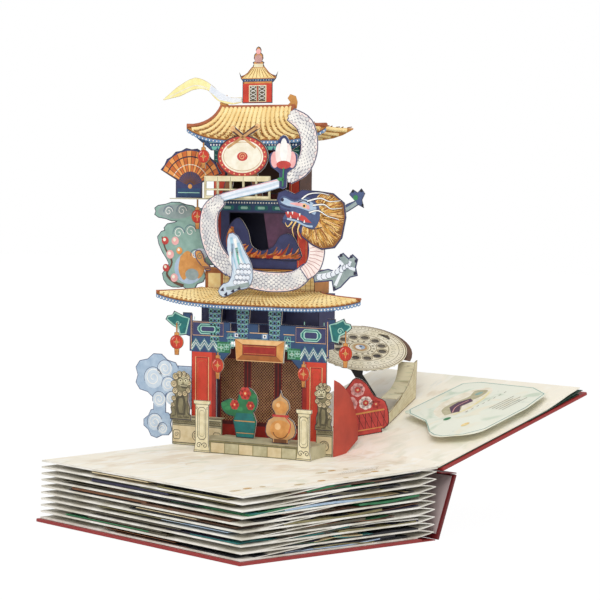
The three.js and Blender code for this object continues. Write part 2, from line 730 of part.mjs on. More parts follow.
function makeLowerRoof() {
  const rows = roofRows(LOWER_ROOF, 4, 16, -104, 34);
  piece(palace, "lower_roof", bentSheet(rows, CARD), COLOURS.tile, 0.75);

  const b = ROOF_BOX;
  const top = LOWER_ROOF.head - CARD - GLUE_GAP - 0.4;
  const walls = [
    block([b.left, b.front, b.foot + 10], [b.right, b.front + CARD, top]),
    block([b.left, b.front, GLUE_GAP], [b.left + CARD, b.back, top]),
    block([b.right - CARD, b.front, b.foot], [b.right, b.back, top]),
    block([b.right - CARD, b.front, GLUE_GAP], [b.right, b.front + b.leg, b.foot + 1]),
    block([b.left, b.front, top - CARD], [b.right, b.back, top]),
    // Ties run forward to the back of the gate
    block([b.left + 27, GATE_DEPTH + LAYER, b.tie], [b.left + 27 + CARD, b.front + CARD, b.tie + 12]),
    block([b.right - 39, GATE_DEPTH + LAYER, b.tie], [b.right - 39 + CARD, b.front + CARD, b.tie + 12]),
  ];
  piece(palace, "roof_box", joined(walls), COLOURS.navy, 0.8);

  const h = HOOD;
  const foot = top + GLUE_GAP;
  const hood = [
    block([h.left, h.front, foot], [h.right, h.front + CARD, h.head]),
    block([h.left, h.front, foot], [h.left + CARD, h.back, h.head]),
    block([h.right - CARD, h.front, foot], [h.right, h.back, h.head]),
    block([h.left - 2, h.front - 1, h.head - CARD], [h.right + 2, h.back, h.head]),
  ];
  const scroll = smooth([
    [-113, 196], [-107, 197.5], [-103, 192], [-101, 186], [-95, 181.4], [-95, 177], [-101, 177], [-107, 183],
    [-112, 189],
  ], 3);
  hood.push(upright(scroll, h.front - 0.2));
  piece(palace, "roof_hood", joined(hood), COLOURS.gold, 0.75);
}

// Second storey: a stage with a frieze, a dark back, a curtain and a red column
const STAGE = { depth: 114, back: 140, left: -92, right: 16 };

function makeStage() {
  const s = STAGE;
  const foot = HOOD.head + GLUE_GAP;
  const head = DECK.top - CARD - GLUE_GAP;
  const wall = rectangle(s.left, foot, s.right, head);
  const front = pierced(wall, [rectangle(-74, 194, 2, 236)], s.depth);
  const sides = [
    block([s.left, s.depth, foot], [s.left + CARD, s.back + CARD, head]),
    block([s.right - CARD, s.depth, foot], [s.right, s.back + CARD, head]),
    block([s.left, s.back, foot], [s.right, s.back + CARD, head]),
  ];
  piece(palace, "stage_box", joined([front, ...sides]), COLOURS.blue, 0.75);
  const curtain = corners([[-28, 190], [3, 190], [3, 238], [-36, 238], [-32, 214]]);
  card("stage_curtain", COLOURS.mauve, curtain, s.depth + CARD + GLUE_GAP);
}

// Deck with its balcony rail, carrying the third storey
const DECK = { left: -137, right: 18, front: 91.1, back: 158, top: 250 };
const RAIL = { left: -91, right: -16, depth: 91.1, head: 273, post: 2.4, bays: 5 };
const HALL = { depth: 112, back: 138, left: -91.5, right: 6, head: 320.7 };

function makeDeck() {
  const d = DECK;
  const plan = new THREE.Shape();
  plan.moveTo(d.left, d.front + 10);
  plan.quadraticCurveTo(d.left + 16, d.front, d.left + 40, d.front);
  plan.lineTo(d.right, d.front);
  plan.lineTo(d.right, d.back);
  plan.lineTo(d.left + 34, d.back);
  const slab = new THREE.ExtrudeGeometry(plan, { depth: CARD, bevelEnabled: false, curveSegments: 6 });
  piece(palace, "deck", slab.translate(0, 0, d.top - CARD), COLOURS.cloud, 0.75);

  const r = RAIL;
  const foot = d.top + GLUE_GAP;
  const windows = [];
  const bay = (r.right - r.left - r.post) / r.bays;
  for (let i = 0; i < r.bays; i += 1) {
    const left = r.left + i * bay + r.post;
    const right = r.left + (i + 1) * bay;
    for (const [low, high] of [[foot + 3, foot + 8], [foot + 10, foot + 17]]) {
      windows.push(rectangle(left, low, right, high));
    }
  }
  card("balcony_rail", COLOURS.ivory, rectangle(r.left, foot, r.right, r.head), r.depth, windows);
}

function makeHall() {
  const h = HALL;
  const foot = DECK.top + GLUE_GAP;
  const wall = rectangle(h.left, foot, h.right, h.head);
  const parts = [
    pierced(wall, [rectangle(-78, 256, -6, 294)], h.depth),
    block([h.left, h.depth, foot], [h.left + CARD, h.back + CARD, h.head]),
    block([h.right - CARD, h.depth, foot], [h.right, h.back + CARD, h.head]),
    block([h.left, h.back, foot], [h.right, h.back + CARD, h.head]),
  ];
  piece(palace, "hall_box", joined(parts), COLOURS.red, 0.75);
}

// Top roof: two curved slopes that meet at a ridge with curled ends
const TOP_ROOF = { front: 94, back: 125, left: -113, right: 43, eave: 309, head: 341, tipLift: 12, curve: 1.5 };

function makeTopRoof() {
  const front = roofRows(TOP_ROOF, 6, 14, -90, -8);
  const back = front.slice(0, -1).reverse().map((row) => row.map(([x, y, z]) => [x, 2 * TOP_ROOF.back - y, z]));
  const slopes = bentSheet([...front, ...back], 1.2);
  const ridgeEnds = [-84, -12].map((x, i) => {
    const flip = i ? -1 : 1;
    const points = [[-7, 0], [-8, 6], [-6, 12], [0, 14], [3, 10], [0, 6], [4, 2], [4, -3], [-4, -3]];
    const placed = points.map(([px, py]) => [x + px * flip, 340 + py]);
    return upright(corners(flip > 0 ? placed.reverse() : placed), TOP_ROOF.back - CARD / 2);
  });
  piece(palace, "top_roof", joined([slopes, ...ridgeEnds]), COLOURS.tile, 0.75);

  // Bracket band under the eave
  const t = TOP_ROOF;
  const foot = 298;
  const outline = corners([[-86, foot], [4, foot], [34, 314], [14, 308], [-88, 308], [-107, 314]]);
  const ties = [-80, -2].map((x) => block([x, t.front + 2, foot + 1], [x + CARD, HALL.depth - GLUE_GAP, foot + 5]));
  piece(palace, "eave_brackets", joined([upright(outline, t.front + 2), ...ties]), COLOURS.blue, 0.75);
}

// Cupola: a small pavilion with a tiled roof and a gourd finial
function makeCupola() {
  const depth = TOP_ROOF.back - CARD / 2;
  const body = upright(rectangle(-66, 345.5, -32, 367), depth);
  const half = [
    [0, 366.3], [17, 366.3], [20, 370], [22, 376.5], [19.5, 372.5], [12, 375], [7.5, 380], [5.6, 384], [6.6, 386],
    [4, 387], [5.4, 390], [4.8, 393.5], [2.6, 395.5], [3.2, 398], [2, 400.5], [0, 401.5],
  ];
  const middle = -48;
  const right = half.map(([x, y]) => [middle + x, y]);
  const left = half.slice(1, -1).reverse().map(([x, y]) => [middle - x, y]);
  piece(palace, "cupola", joined([body, upright(corners([...right, ...left]), depth)]), COLOURS.tile, 0.75);
}

// Cloud outline: arcs of lobes round an oval
function cloud(x, y, rx, ry, lobes, bump, steps = 3) {
  const points = [];
  const total = lobes * steps;
  for (let i = 0; i < total; i += 1) {
    const angle = (i / total) * 2 * Math.PI;
    const swell = 1 + bump * Math.abs(Math.sin((lobes * angle) / 2));
    points.push([x + rx * swell * Math.cos(angle), y + ry * swell * Math.sin(angle)]);
  }
  return corners(points);
}

const LOW_CLOUD = GATE_DEPTH + LAYER;
const PEACH_BRANCH = smooth([
  [-128, 166], [-136, 158], [-150, 160], [-156, 172], [-148, 182], [-156, 194], [-162, 210], [-150, 218],
  [-138, 208], [-128, 196],
], 2);

function makeClouds() {
  const low = [upright(cloud(-145, 68, 24, 20, 6, 0.2), LOW_CLOUD), upright(cloud(-144, 19, 15, 13, 5, 0.25), LOW_CLOUD)];
  low.push(upright(rectangle(TERRACE.left + 1.4, 36, -96, 80), LOW_CLOUD), upright(rectangle(-150, 12, -135, 60), LOW_CLOUD));
  piece(palace, "cloud_low", joined(low), COLOURS.cloud, 0.8);
  const upper = [
    upright(cloud(-140, 236, 24, 9, 6, 0.15), 118),
    upright(cloud(-130, 214, 22, 13, 6, 0.2), 118),
    upright(cloud(-126, 177, 20, 19, 7, 0.2), 118),
    upright(rectangle(-135, HOOD.head + 2, STAGE.left - GLUE_GAP, 240), 118),
    upright(PEACH_BRANCH, 118),
  ];
  piece(palace, "cloud_high", joined(upper), COLOURS.cloudTeal, 0.8);
  const streamer = band(
    [[-158, 350], [-140, 358], [-120, 366], [-104, 362], [-92, 352], [-78, 348], [-66, 349]],
    [1, 10, 12, 7, 8, 7, 5],
    4,
  );
  card("streamer", COLOURS.ivory, streamer, TOP_ROOF.back - CARD / 2 - LAYER);
}

// Dragon: curved bands of card wound round the storeys, with head, claws and a foreleg
function makeDragon() {
  const near = 90;
  const upper = band([[6, 333], [22, 322], [27, 300], [20, 282], [4, 270]], [14, 19, 19, 18, 12]);
  card("dragon_upper", COLOURS.scale, upper, near);
  const sweep = band([[1, 268], [-22, 262], [-50, 256], [-68, 252], [-84, 247]], [9, 10, 9, 8, 6]);
  card("dragon_sweep", COLOURS.cloud, sweep, near);
  const left = band([[-70, 250], [-82, 238], [-84, 218], [-76, 196], [-58, 180]], [14, 20, 21, 20, 18]);
  card("dragon_left", COLOURS.scale, left, near - LAYER);
  const belly = band([[-60, 183], [-40, 173], [-12, 169], [14, 172], [28, 182]], [18, 19, 20, 19, 16]);
  card("dragon_belly", COLOURS.scale, belly, near - 2 * LAYER);
  const neck = band([[24, 178], [34, 186], [38, 200], [36, 216]], [15, 17, 18, 18]);
  card("dragon_neck", COLOURS.scale, neck, near - 3 * LAYER);
  const head = corners([
    [-6, 250], [-4, 257], [4, 260], [14, 256], [22, 260], [40, 259], [56, 257], [68, 248], [70, 234],
    [66, 214], [58, 204], [44, 202], [34, 206], [22, 214], [16, 226], [8, 222], [0, 228], [2, 234],
    [12, 236], [-2, 240],
  ].reverse());
  card("dragon_head", COLOURS.mane, head, near - 4 * LAYER);
  const clawHigh = corners([
    [62, 242], [70, 247], [78, 250], [72, 256], [76, 261], [81, 258], [85, 262], [89, 257], [86, 251],
    [88, 243], [82, 246], [72, 240], [64, 236],
  ].reverse());
  card("dragon_claw_high", COLOURS.teal, clawHigh, near - 3 * LAYER);
  const clawRight = corners([
    [33, 180], [50, 184], [58, 182], [64, 190], [60, 196], [66, 200], [72, 195], [76, 199], [82, 194],
    [80, 186], [82, 178], [74, 176], [64, 166], [56, 162], [54, 172], [35, 170],
  ].reverse());
  card("dragon_claw_right", COLOURS.navy, clawRight, near - 2 * LAYER);
  const leg = smooth([
    [-60, 216], [-50, 214], [-42, 200], [-34, 186], [-32, 172], [-38, 162], [-48, 160], [-56, 156],
    [-66, 152], [-72, 158], [-66, 166], [-60, 168], [-56, 180], [-62, 200],
  ], 2);
  card("dragon_foreleg", COLOURS.cloud, leg, near - 3 * LAYER);
}

// Ornaments that stand between the buildings
const DRUM_DEPTH = RAIL.depth + LAYER;
function makeOrnaments() {
  const floor = TERRACE.floor + GLUE_GAP;
  const deckTop = DECK.top + GLUE_GAP;
  const leaves = smooth([
    [-42, 34], [-56, 36], [-62, 46], [-52, 52], [-44, 50], [-40, 60], [-30, 64], [-22, 58], [-20, 48], [-26, 38],
  ], 3);
  const pot = corners([[-44, floor], [-24, floor], [-21, 30], [-25, 40], [-45, 40], [-48, 30]]);
  piece(palace, "peony_pot", joined([upright(leaves, 76), upright(pot, 76)]), COLOURS.leaf, 0.75);

  const gourd = smooth([
    [5, 17], [25, 17], [32, 25], [29, 36], [21, 41], [25, 48], [23, 56], [17, 60], [15, 66], [13, 60],
    [6, 55], [5, 48], [9, 41], [1, 36], [-2, 24],
  ], 2);
  const gourdFoot = rectangle(6, floor, 24, 22);
  piece(palace, "gourd_bottle", joined([upright(gourd, 58), upright(gourdFoot, 58)]), COLOURS.tan, 0.75);

  const drum = [
    upright(ellipse(-48, 292, 29, 21, 24), DRUM_DEPTH),
    upright(corners([[-72, deckTop], [-62, deckTop], [-54, 282], [-62, 288]]), DRUM_DEPTH),
    upright(corners([[-34, deckTop], [-24, deckTop], [-34, 288], [-42, 282]]), DRUM_DEPTH),
    upright(band([[-66, 300], [-30, 322]], [4, 6], 2), DRUM_DEPTH),
    upright(band([[-32, 300], [-60, 320]], [4, 6], 2), DRUM_DEPTH),
  ];
  piece(palace, "drum", joined(drum), COLOURS.tan, 0.75);

  const fan = new THREE.Shape();
  const pivot = [-118, 262];
  fan.moveTo(pivot[0] + 5, pivot[1]);
  for (let i = 0; i <= 14; i += 1) {
    const angle = 0.35 + (i / 14) * 2.35;
    const radius = 39 - (i % 2) * 1.6;
    fan.lineTo(pivot[0] + radius * Math.cos(angle), pivot[1] + radius * Math.sin(angle));
  }
  fan.lineTo(pivot[0] - 5, pivot[1]);
  const fanStand = rectangle(pivot[0] - 17, deckTop, pivot[0] + 14, pivot[1] + 6);
  piece(palace, "folding_fan", joined([upright(fan, 110), upright(fanStand, 110)]), COLOURS.mane, 0.75);

  const lotus = smooth([
    [-5, 262], [3, 262], [4, 276], [13, 282], [15, 294], [8, 298], [5, 309], [-1, 313], [-7, 307], [-9, 298],
    [-16, 294], [-14, 282], [-5, 276],
  ], 2);
  card("lotus", COLOURS.pink, lotus, 90 - LAYER);

  const screen = smooth([
    [-82, 190], [-40, 191], [6, 190], [4, 206], [-4, 216], [-16, 214], [-24, 203], [-38, 199], [-48, 204],
    [-52, 218], [-62, 231], [-72, 226], [-80, 212],
  ], 3);
  card("stage_jars", COLOURS.cloud, screen, STAGE.depth - LAYER);

  const basket = new THREE.Group();
  basket.position.set(50, -4, 0);
  basket.rotation.z = BASKET_TURN;
  rightHalf.add(basket);
  const outline = smooth([
    [-18, 4], [18, 4], [25, 14], [24, 32], [14, 40], [8, 54], [-2, 62], [-12, 54], [-20, 46],
    [-26, 30], [-24, 12],
  ], 3);
  const foot = rectangle(-16, GLUE_GAP, 16, 10);
  piece(basket, "peony_basket", joined([upright(outline, 0), upright(foot, 0)]), COLOURS.pink, 0.75);
}

makeCase();
makePageBlock();
makeRightHalf();
makeStoryLeaf();
makeDial();
makeDialBase();
makeTerrace();
card("lion_left", COLOURS.stone, lionOutline(-111.5, 26, 25, 49, 1), TERRACE.depth - LAYER);
card("lion_right", COLOURS.stone, lionOutline(50.5, 26, 19, 46, -1), TERRACE.depth - LAYER);
makeGate();
makeSideWall();
for (const [name, x, top, width, height, cord, depth] of LANTERNS) {
  card(name, COLOURS.red, lanternOutline(x, top, width, height, cord), depth);
}
makeLowerRoof();
makeStage();
makeDeck();
makeHall();
makeTopRoof();
makeCupola();
makeClouds();
makeDragon();
makeOrnaments();

export default book;
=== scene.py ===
import json
import math
import random

import bmesh
import bpy
from bpy.props import FloatProperty, FloatVectorProperty, IntProperty, PointerProperty
from mathutils import Matrix, Vector


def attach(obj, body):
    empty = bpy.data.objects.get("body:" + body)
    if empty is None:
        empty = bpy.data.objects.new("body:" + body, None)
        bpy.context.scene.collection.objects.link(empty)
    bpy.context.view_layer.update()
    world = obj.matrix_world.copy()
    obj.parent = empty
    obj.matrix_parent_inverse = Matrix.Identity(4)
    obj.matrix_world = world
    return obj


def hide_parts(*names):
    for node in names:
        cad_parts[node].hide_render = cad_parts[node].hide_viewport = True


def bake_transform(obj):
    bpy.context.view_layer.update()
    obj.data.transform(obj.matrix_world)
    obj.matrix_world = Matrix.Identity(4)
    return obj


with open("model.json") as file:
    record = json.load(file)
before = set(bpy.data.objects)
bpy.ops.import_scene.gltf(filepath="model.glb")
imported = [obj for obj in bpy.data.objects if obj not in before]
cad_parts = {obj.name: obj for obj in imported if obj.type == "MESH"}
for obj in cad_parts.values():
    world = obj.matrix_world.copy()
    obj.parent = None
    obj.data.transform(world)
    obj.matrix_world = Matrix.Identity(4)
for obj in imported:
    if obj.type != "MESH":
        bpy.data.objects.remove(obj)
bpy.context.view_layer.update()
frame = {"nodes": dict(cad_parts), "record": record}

bl_info = {
    "name": "Pop-up Palace Book",
    "version": (1, 0, 0),
    "blender": (4, 5, 0),
    "location": "View3D > Sidebar > Pop-up Book",
    "description": "Prints and finishes an open pop-up book on its frame of cards",
    "category": "Object",
}

SLOT_OF = {row["node"]: row["material_slot"] for row in frame["record"]["subparts"]}
LEFT, RIGHT = "left_half", "right_half"
MM = 0.001

# Height of one layer of ink above the card, in millimetres
INK = 0.06

# Frames of the two pages, the palace and the dial, as in the book's plan
PAGE_WIDTH, PAGE_RISE = 255, 10
GUTTER, GUTTER_HEIGHT = PAGE_WIDTH / 2, 70
PAGE_SLOPE = math.atan2(PAGE_RISE, PAGE_WIDTH)
OPENING = math.radians(16.3)
PALACE_TURN = math.radians(-72)
DIAL_TILT = math.radians(18.4)
BASKET_TURN = math.radians(-41.5)


def moved(across, back, up):
    """A shift in millimetres."""
    return Matrix.Translation((across * MM, back * MM, up * MM))


PAGE = moved(0, 0, GUTTER_HEIGHT - PAGE_RISE / 2) @ Matrix.Rotation(-PAGE_SLOPE, 4, "Y")
PALACE = PAGE @ Matrix.Rotation(PALACE_TURN, 4, "Z")
RIGHT_PAGE = moved(GUTTER, 0, GUTTER_HEIGHT) @ Matrix.Rotation(-OPENING, 4, "Y")
DIAL = RIGHT_PAGE @ moved(138, 73, 60) @ Matrix.Rotation(DIAL_TILT, 4, "X")
BASKET = RIGHT_PAGE @ moved(50, -4, 0) @ Matrix.Rotation(BASKET_TURN, 4, "Z")

# How far back the printed front of each palace card stands, in millimetres
FRONT = {
    "terrace": 82, "stair": 47, "newel_left": 45.9, "newel_right": 45.9, "lion_left": 80.9,
    "lion_right": 80.9,
    "gate_front": 90, "name_board": 87.3, "lattice_doors": 116, "roof_box": 110, "roof_hood": 112,
    "cupola": 124.6, "stage_box": 114, "stage_curtain": 115.9, "stage_jars": 112.9, "balcony_rail": 91.1,
    "hall_box": 112, "eave_brackets": 96, "lantern_gate_left": 88.9, "lantern_gate_right": 88.9,
    "lantern_post_left": 88.9, "lantern_post_right": 88.9, "lantern_deck": 104, "lantern_eave": 94.9,
    "cloud_low": 91.1, "cloud_high": 118, "streamer": 123.5, "dragon_upper": 90, "dragon_sweep": 90,
    "dragon_left": 88.9, "dragon_belly": 87.8, "dragon_claw_right": 87.8, "dragon_neck": 86.7,
    "dragon_foreleg": 86.7, "dragon_claw_high": 86.7, "dragon_head": 85.6, "peony_pot": 76,
    "gourd_bottle": 58, "drum": 92.2, "folding_fan": 110, "lotus": 88.9,
}
HOOD_SCROLL_FRONT = 111.8


def linear(code):
    """A colour written as six hexadecimal digits, as linear values."""
    parts = [int(code[i : i + 2], 16) / 255 for i in (0, 2, 4)]
    return tuple(p / 12.92 if p <= 0.04045 else ((p + 0.055) / 1.055) ** 2.4 for p in parts)


# Settings


def colour_property(name, text, code):
    return FloatVectorProperty(name=name, description=text, subtype="COLOR", size=3, min=0, max=1,
                               default=linear(code))


class CaseSettings(bpy.types.PropertyGroup):
    cloth: colour_property("Boards", "Colour of the two boards", "962624")
    spine: colour_property("Spine", "Colour of the spine and its joint", "6A1417")
    lining: colour_property("Lining", "Colour of the paper inside the spine", "B9A7A6")
    rounding: FloatProperty(name="Edge rounding", description="Rounding of the board edges", default=0.0007,
                            min=0, unit="LENGTH")


class PageSettings(bpy.types.PropertyGroup):
    paper: colour_property("Paper", "Ground colour of the spreads", "FCF5E4")
    wash: colour_property("Wash", "Colour of the painted wash", "C9A878")
    mist: colour_property("Mist", "Colour of the pale green wash", "C3CDB4")
    slips: IntProperty(name="Slips", description="Folded slips in each closed spread", default=9, min=1,
                       max=14)
    seed: IntProperty(name="Seed", description="Seed of the slips' places", default=7, min=0)


class PalaceSettings(bpy.types.PropertyGroup):
    post: colour_property("Posts", "Red of the posts", "D0402A")
    beam: colour_property("Beams", "Blue of the beams", "2C4C74")
    tile: colour_property("Tiles", "Yellow of the roof tiles", "F8E2A6")
    margin: FloatProperty(name="Outline", description="Width of the dark outline", default=0.0009, min=0.0001,
                          unit="LENGTH")


class DragonSettings(bpy.types.PropertyGroup):
    scale: colour_property("Scales", "Colour of the scales", "EFEBE4")
    size: FloatProperty(name="Scale size", description="Radius of one scale", default=0.0021, min=0.0005,
                        unit="LENGTH")


class DialSettings(bpy.types.PropertyGroup):
    face: colour_property("Face", "Colour of the dial's face", "F6EED8")
    ring: colour_property("Ring", "Colour of the printed rings", "86704A")


class StageSettings(bpy.types.PropertyGroup):
    floor: colour_property("Floor", "Colour of the floor and backdrop", "FBFBFB")
    key: FloatProperty(name="Key lamp", description="Power of the key lamp", default=26, min=0, unit="POWER")
    fill: FloatProperty(name="Fill share", description="Share of the key lamp that the fill lamp gives",
                        default=0.1, min=0, subtype="FACTOR")
    reach: FloatProperty(name="Floor reach", description="Half width of the floor", default=12, min=1,
                         unit="LENGTH")
    world: FloatProperty(name="Surround", description="Strength of the even surround", default=0.64, min=0)


# Materials


def node_group_of_print():
    """Printed card: a wash that varies the ink, a fine paper tooth, and a sheen that varies with the tooth.
    """
    group = bpy.data.node_groups.new("card_print", "ShaderNodeTree")
    face = group.interface
    for name, kind, default in (
        ("Colour", "NodeSocketColor", (0.8, 0.8, 0.8, 1)),
        ("Shade", "NodeSocketColor", (0.6, 0.6, 0.6, 1)),
        ("Wash scale", "NodeSocketFloat", 60.0),
        ("Wash strength", "NodeSocketFloat", 0.5),
        ("Tooth scale", "NodeSocketFloat", 1800.0),
        ("Gloss", "NodeSocketFloat", 0.5),
    ):
        socket = face.new_socket(name, in_out="INPUT", socket_type=kind)
        socket.default_value = default
    for name, kind in (("Colour", "NodeSocketColor"), ("Roughness", "NodeSocketFloat"),
                       ("Height", "NodeSocketFloat")):
        face.new_socket(name, in_out="OUTPUT", socket_type=kind)
    make, link = group.nodes.new, group.links.new
    given, result = make("NodeGroupInput"), make("NodeGroupOutput")
    place = make("ShaderNodeTexCoord")
    wash, tooth = make("ShaderNodeTexNoise"), make("ShaderNodeTexNoise")
    wash.inputs["Detail"].default_value = 4
    tooth.inputs["Detail"].default_value = 2
    link(place.outputs["Object"], wash.inputs["Vector"])
    link(place.outputs["Object"], tooth.inputs["Vector"])
    link(given.outputs["Wash scale"], wash.inputs["Scale"])
    link(given.outputs["Tooth scale"], tooth.inputs["Scale"])
    spread = make("ShaderNodeMapRange")
    spread.inputs["From Min"].default_value, spread.inputs["From Max"].default_value = 0.35, 0.68
    link(wash.outputs["Fac"], spread.inputs["Value"])
    amount = make("ShaderNodeMath")
    amount.operation = "MULTIPLY"
    link(spread.outputs["Result"], amount.inputs[0])
    link(given.outputs["Wash strength"], amount.inputs[1])
    blend = make("ShaderNodeMix")
    blend.data_type = "RGBA"
    link(amount.outputs["Value"], blend.inputs["Factor"])
    link(given.outputs["Colour"], blend.inputs["A"])
    link(given.outputs["Shade"], blend.inputs["B"])
    link(blend.outputs["Result"], result.inputs["Colour"])
    sheen = make("ShaderNodeMath")
    sheen.operation, sheen.inputs[1].default_value = "MULTIPLY_ADD", 0.14
    link(tooth.outputs["Fac"], sheen.inputs[0])
    link(given.outputs["Gloss"], sheen.inputs[2])
    link(sheen.outputs["Value"], result.inputs["Roughness"])
    link(tooth.outputs["Fac"], result.inputs["Height"])
    return group


def print_group():
    return bpy.data.node_groups.get("card_print") or node_group_of_print()


def printed(name, colour, shade=None, strength=0.5, wash=60.0, tooth=1800.0, gloss=0.5, bump=0.12):
    """A material of ink on card; the shade is where the wash is thick."""
    name = "print_" + name
    if name in bpy.data.materials:
        return bpy.data.materials[name]
    material = bpy.data.materials.new(name)
    material.use_nodes = True
    nodes, link = material.node_tree.nodes, material.node_tree.links.new
    surface = nodes["Principled BSDF"]
    card = nodes.new("ShaderNodeGroup")
    card.node_tree = print_group()
    card.inputs["Colour"].default_value = (*colour, 1)
    card.inputs["Shade"].default_value = (*(shade or tuple(c * 0.72 for c in colour)), 1)
    card.inputs["Wash strength"].default_value = strength
    card.inputs["Wash scale"].default_value = wash
    card.inputs["Tooth scale"].default_value = tooth
    card.inputs["Gloss"].default_value = gloss
    relief = nodes.new("ShaderNodeBump")
    relief.inputs["Strength"].default_value = bump
    relief.inputs["Distance"].default_value = 0.0001
    link(card.outputs["Colour"], surface.inputs["Base Color"])
    link(card.outputs["Roughness"], surface.inputs["Roughness"])
    link(card.outputs["Height"], relief.inputs["Height"])
    link(relief.outputs["Normal"], surface.inputs["Normal"])
    material.diffuse_color = (*colour, 1)
    return material


INKS = {
    "cream": ("F4EEDD", "E2D6B8"), "ivory": ("E9DFBE", "CFC092"), "olive": ("8F865C", "6E6642"),
    "stone": ("C4BC9A", "A39A76"), "stone_dark": ("8B8262", "6C6448"), "stone_ink": ("5A5340", "453F30"),
    "ink": ("2A2744", "1E1C34"), "navy": ("3A3F6B", "2C2F55"), "deep": ("14151F", "0E0E16"),
    "blue": ("2C4C74", "233B60"), "blue_light": ("6C8FB4", "5076A2"), "teal": ("1F7774", "175A5C"),
    "teal_light": ("79BFAE", "4F9C90"), "green": ("2E7D4F", "1E5C38"), "mint": ("A9D6C6", "86BCAA"),
    "white": ("F8F6F0", "E4E2DE"), "red": ("D0402A", "B22F1E"), "red_dark": ("A3271B", "84190F"),
    "maroon": ("57191A", "3B0F11"), "gold": ("D99B55", "BB7836"), "gold_light": ("EDC18A", "D9A465"),
    "gold_dark": ("A9622A", "84491C"), "brown": ("7A4A26", "5A3419"), "tan": ("CDA06C", "AE7F4A"),
    "tile": ("F6DFA0", "E6BF73"), "tile_ink": ("9C6A2E", "7A4D1E"), "snow": ("EEF1F6", "D5DDE9"),
    "cloud": ("B4C7DA", "93ACC6"), "cloud_light": ("D3DFE9", "BACBDC"), "cloud_ink": ("4A5A80", "37446A"),
    "sage": ("93B3A8", "7B9C90"), "grey": ("9AA8A6", "7F8F8F"), "mauve": ("5B3550", "41233B"),
    "pink": ("F0B7B4", "DE928F"), "rose": ("C9463F", "A5302C"), "leaf": ("3F8F5A", "28683D"),
    "scale_ink": ("77788A", "555870"), "belly": ("F6E8E2", "E9CFC8"), "belly_ink": ("C79A94", "A87A76"),
    "fin": ("D5702E", "A84A1E"), "fin_light": ("EFA45A", "DC8238"), "mane": ("D9A24A", "B57A2C"),
    "mane_light": ("F0CF86", "DFB060"), "mane_dark": ("8F5A22", "6E4318"), "water": ("A9CFDF", "7FB0C9"),
    "terracotta": ("B0623C", "8C4626"), "paint": ("D8B070", "B98A48"), "bark": ("6B4A36", "4C3325"),
    "dust": ("D8C7A2", "C2AC80"), "yellow": ("F8F0B4", "EEDF8C"),
}


def ink(name):
    """The palette's ink of this name."""
    colour, shade = INKS[name]
    return printed("ink_" + name, linear(colour), linear(shade), strength=0.75, wash=140.0)


def gradient_wash(name, ground, stains, streak=(1.0, 1.0, 1.0), scale=9.0, gloss=0.5):
    """Paper with soft painted washes: each stain is a colour, a lowest noise value and a strength."""
    material = printed(name, ground, tuple(c * 0.93 for c in ground), strength=0.6, wash=30.0, gloss=gloss)
    nodes, link = material.node_tree.nodes, material.node_tree.links.new
    surface = nodes["Principled BSDF"]
    current = surface.inputs["Base Color"].links[0].from_socket
    place = nodes.new("ShaderNodeTexCoord")
    for i, (colour, lowest, strength) in enumerate(stains):
        move = nodes.new("ShaderNodeMapping")
        move.inputs["Scale"].default_value = streak
        move.inputs["Location"].default_value = (0.37 * i, 0.11 * i, 0.53 * i)
        link(place.outputs["Object"], move.inputs["Vector"])
        cloud = nodes.new("ShaderNodeTexNoise")
        cloud.inputs["Scale"].default_value = scale * (1 + 0.6 * i)
        cloud.inputs["Detail"].default_value = 6
        cloud.inputs["Distortion"].default_value = 1.1
        link(move.outputs["Vector"], cloud.inputs["Vector"])
        mask = nodes.new("ShaderNodeMapRange")
        mask.interpolation_type = "SMOOTHSTEP"
        mask.inputs["From Min"].default_value = lowest
        mask.inputs["From Max"].default_value = lowest + 0.14
        mask.inputs["To Max"].default_value = strength
        link(cloud.outputs["Fac"], mask.inputs["Value"])
        blend = nodes.new("ShaderNodeMix")
        blend.data_type = "RGBA"
        link(mask.outputs["Result"], blend.inputs["Factor"])
        link(current, blend.inputs["A"])
        blend.inputs["B"].default_value = (*colour, 1)
        current = blend.outputs["Result"]
    link(current, surface.inputs["Base Color"])
    return material


# Drawing on flat cards


def polar(x, y, r, turn):
    """The point at a distance and an angle from another."""
    return x + r * math.cos(turn), y + r * math.sin(turn)


def circle(x, y, r, count=20, high=None):
    high = high or r
    return [(x + r * math.cos(2 * math.pi * i / count), y + high * math.sin(2 * math.pi * i / count))
            for i in range(count)]


def rect(left, low, right, top):
    return [(left, low), (right, low), (right, top), (left, top)]


def arc(x, y, r, start, end, count=12, high=None):
    high = high or r
    turns = [math.radians(start + (end - start) * i / count) for i in range(count + 1)]
    return [(x + r * math.cos(a), y + high * math.sin(a)) for a in turns]


def spiral(x, y, r, turns=1.6, start=0.0, count=26, way=1):
    return [
        (x + r * (1 - 0.85 * i / count) * math.cos(start + way * 2 * math.pi * turns * i / count),
         y + r * (1 - 0.85 * i / count) * math.sin(start + way * 2 * math.pi * turns * i / count))
        for i in range(count + 1)
    ]


def octagon(left, low, right, top, cut):
    return [(left + cut, low), (right - cut, low), (right, low + cut), (right, top - cut),
            (right - cut, top), (left + cut, top), (left, top - cut), (left, low + cut)]


def bend(points, count=6):
    """A smooth curve through the given points."""
    out = []
    last = len(points) - 1
    for i in range(last):
        around = points[max(i - 1, 0)], points[i], points[i + 1], points[min(i + 2, last)]
        for j in range(count):
            t = j / count
            out.append(tuple(0.5 * (
                2 * b + (c - a) * t + (2 * a - 5 * b + 4 * c - d) * t * t + (3 * b - a - 3 * c + d) * t ** 3
            ) for a, b, c, d in zip(*around)))
    out.append(tuple(points[-1]))
    return out


def area(points):
    return sum(a[0] * b[1] - b[0] * a[1] for a, b in zip(points, points[1:] + points[:1])) / 2


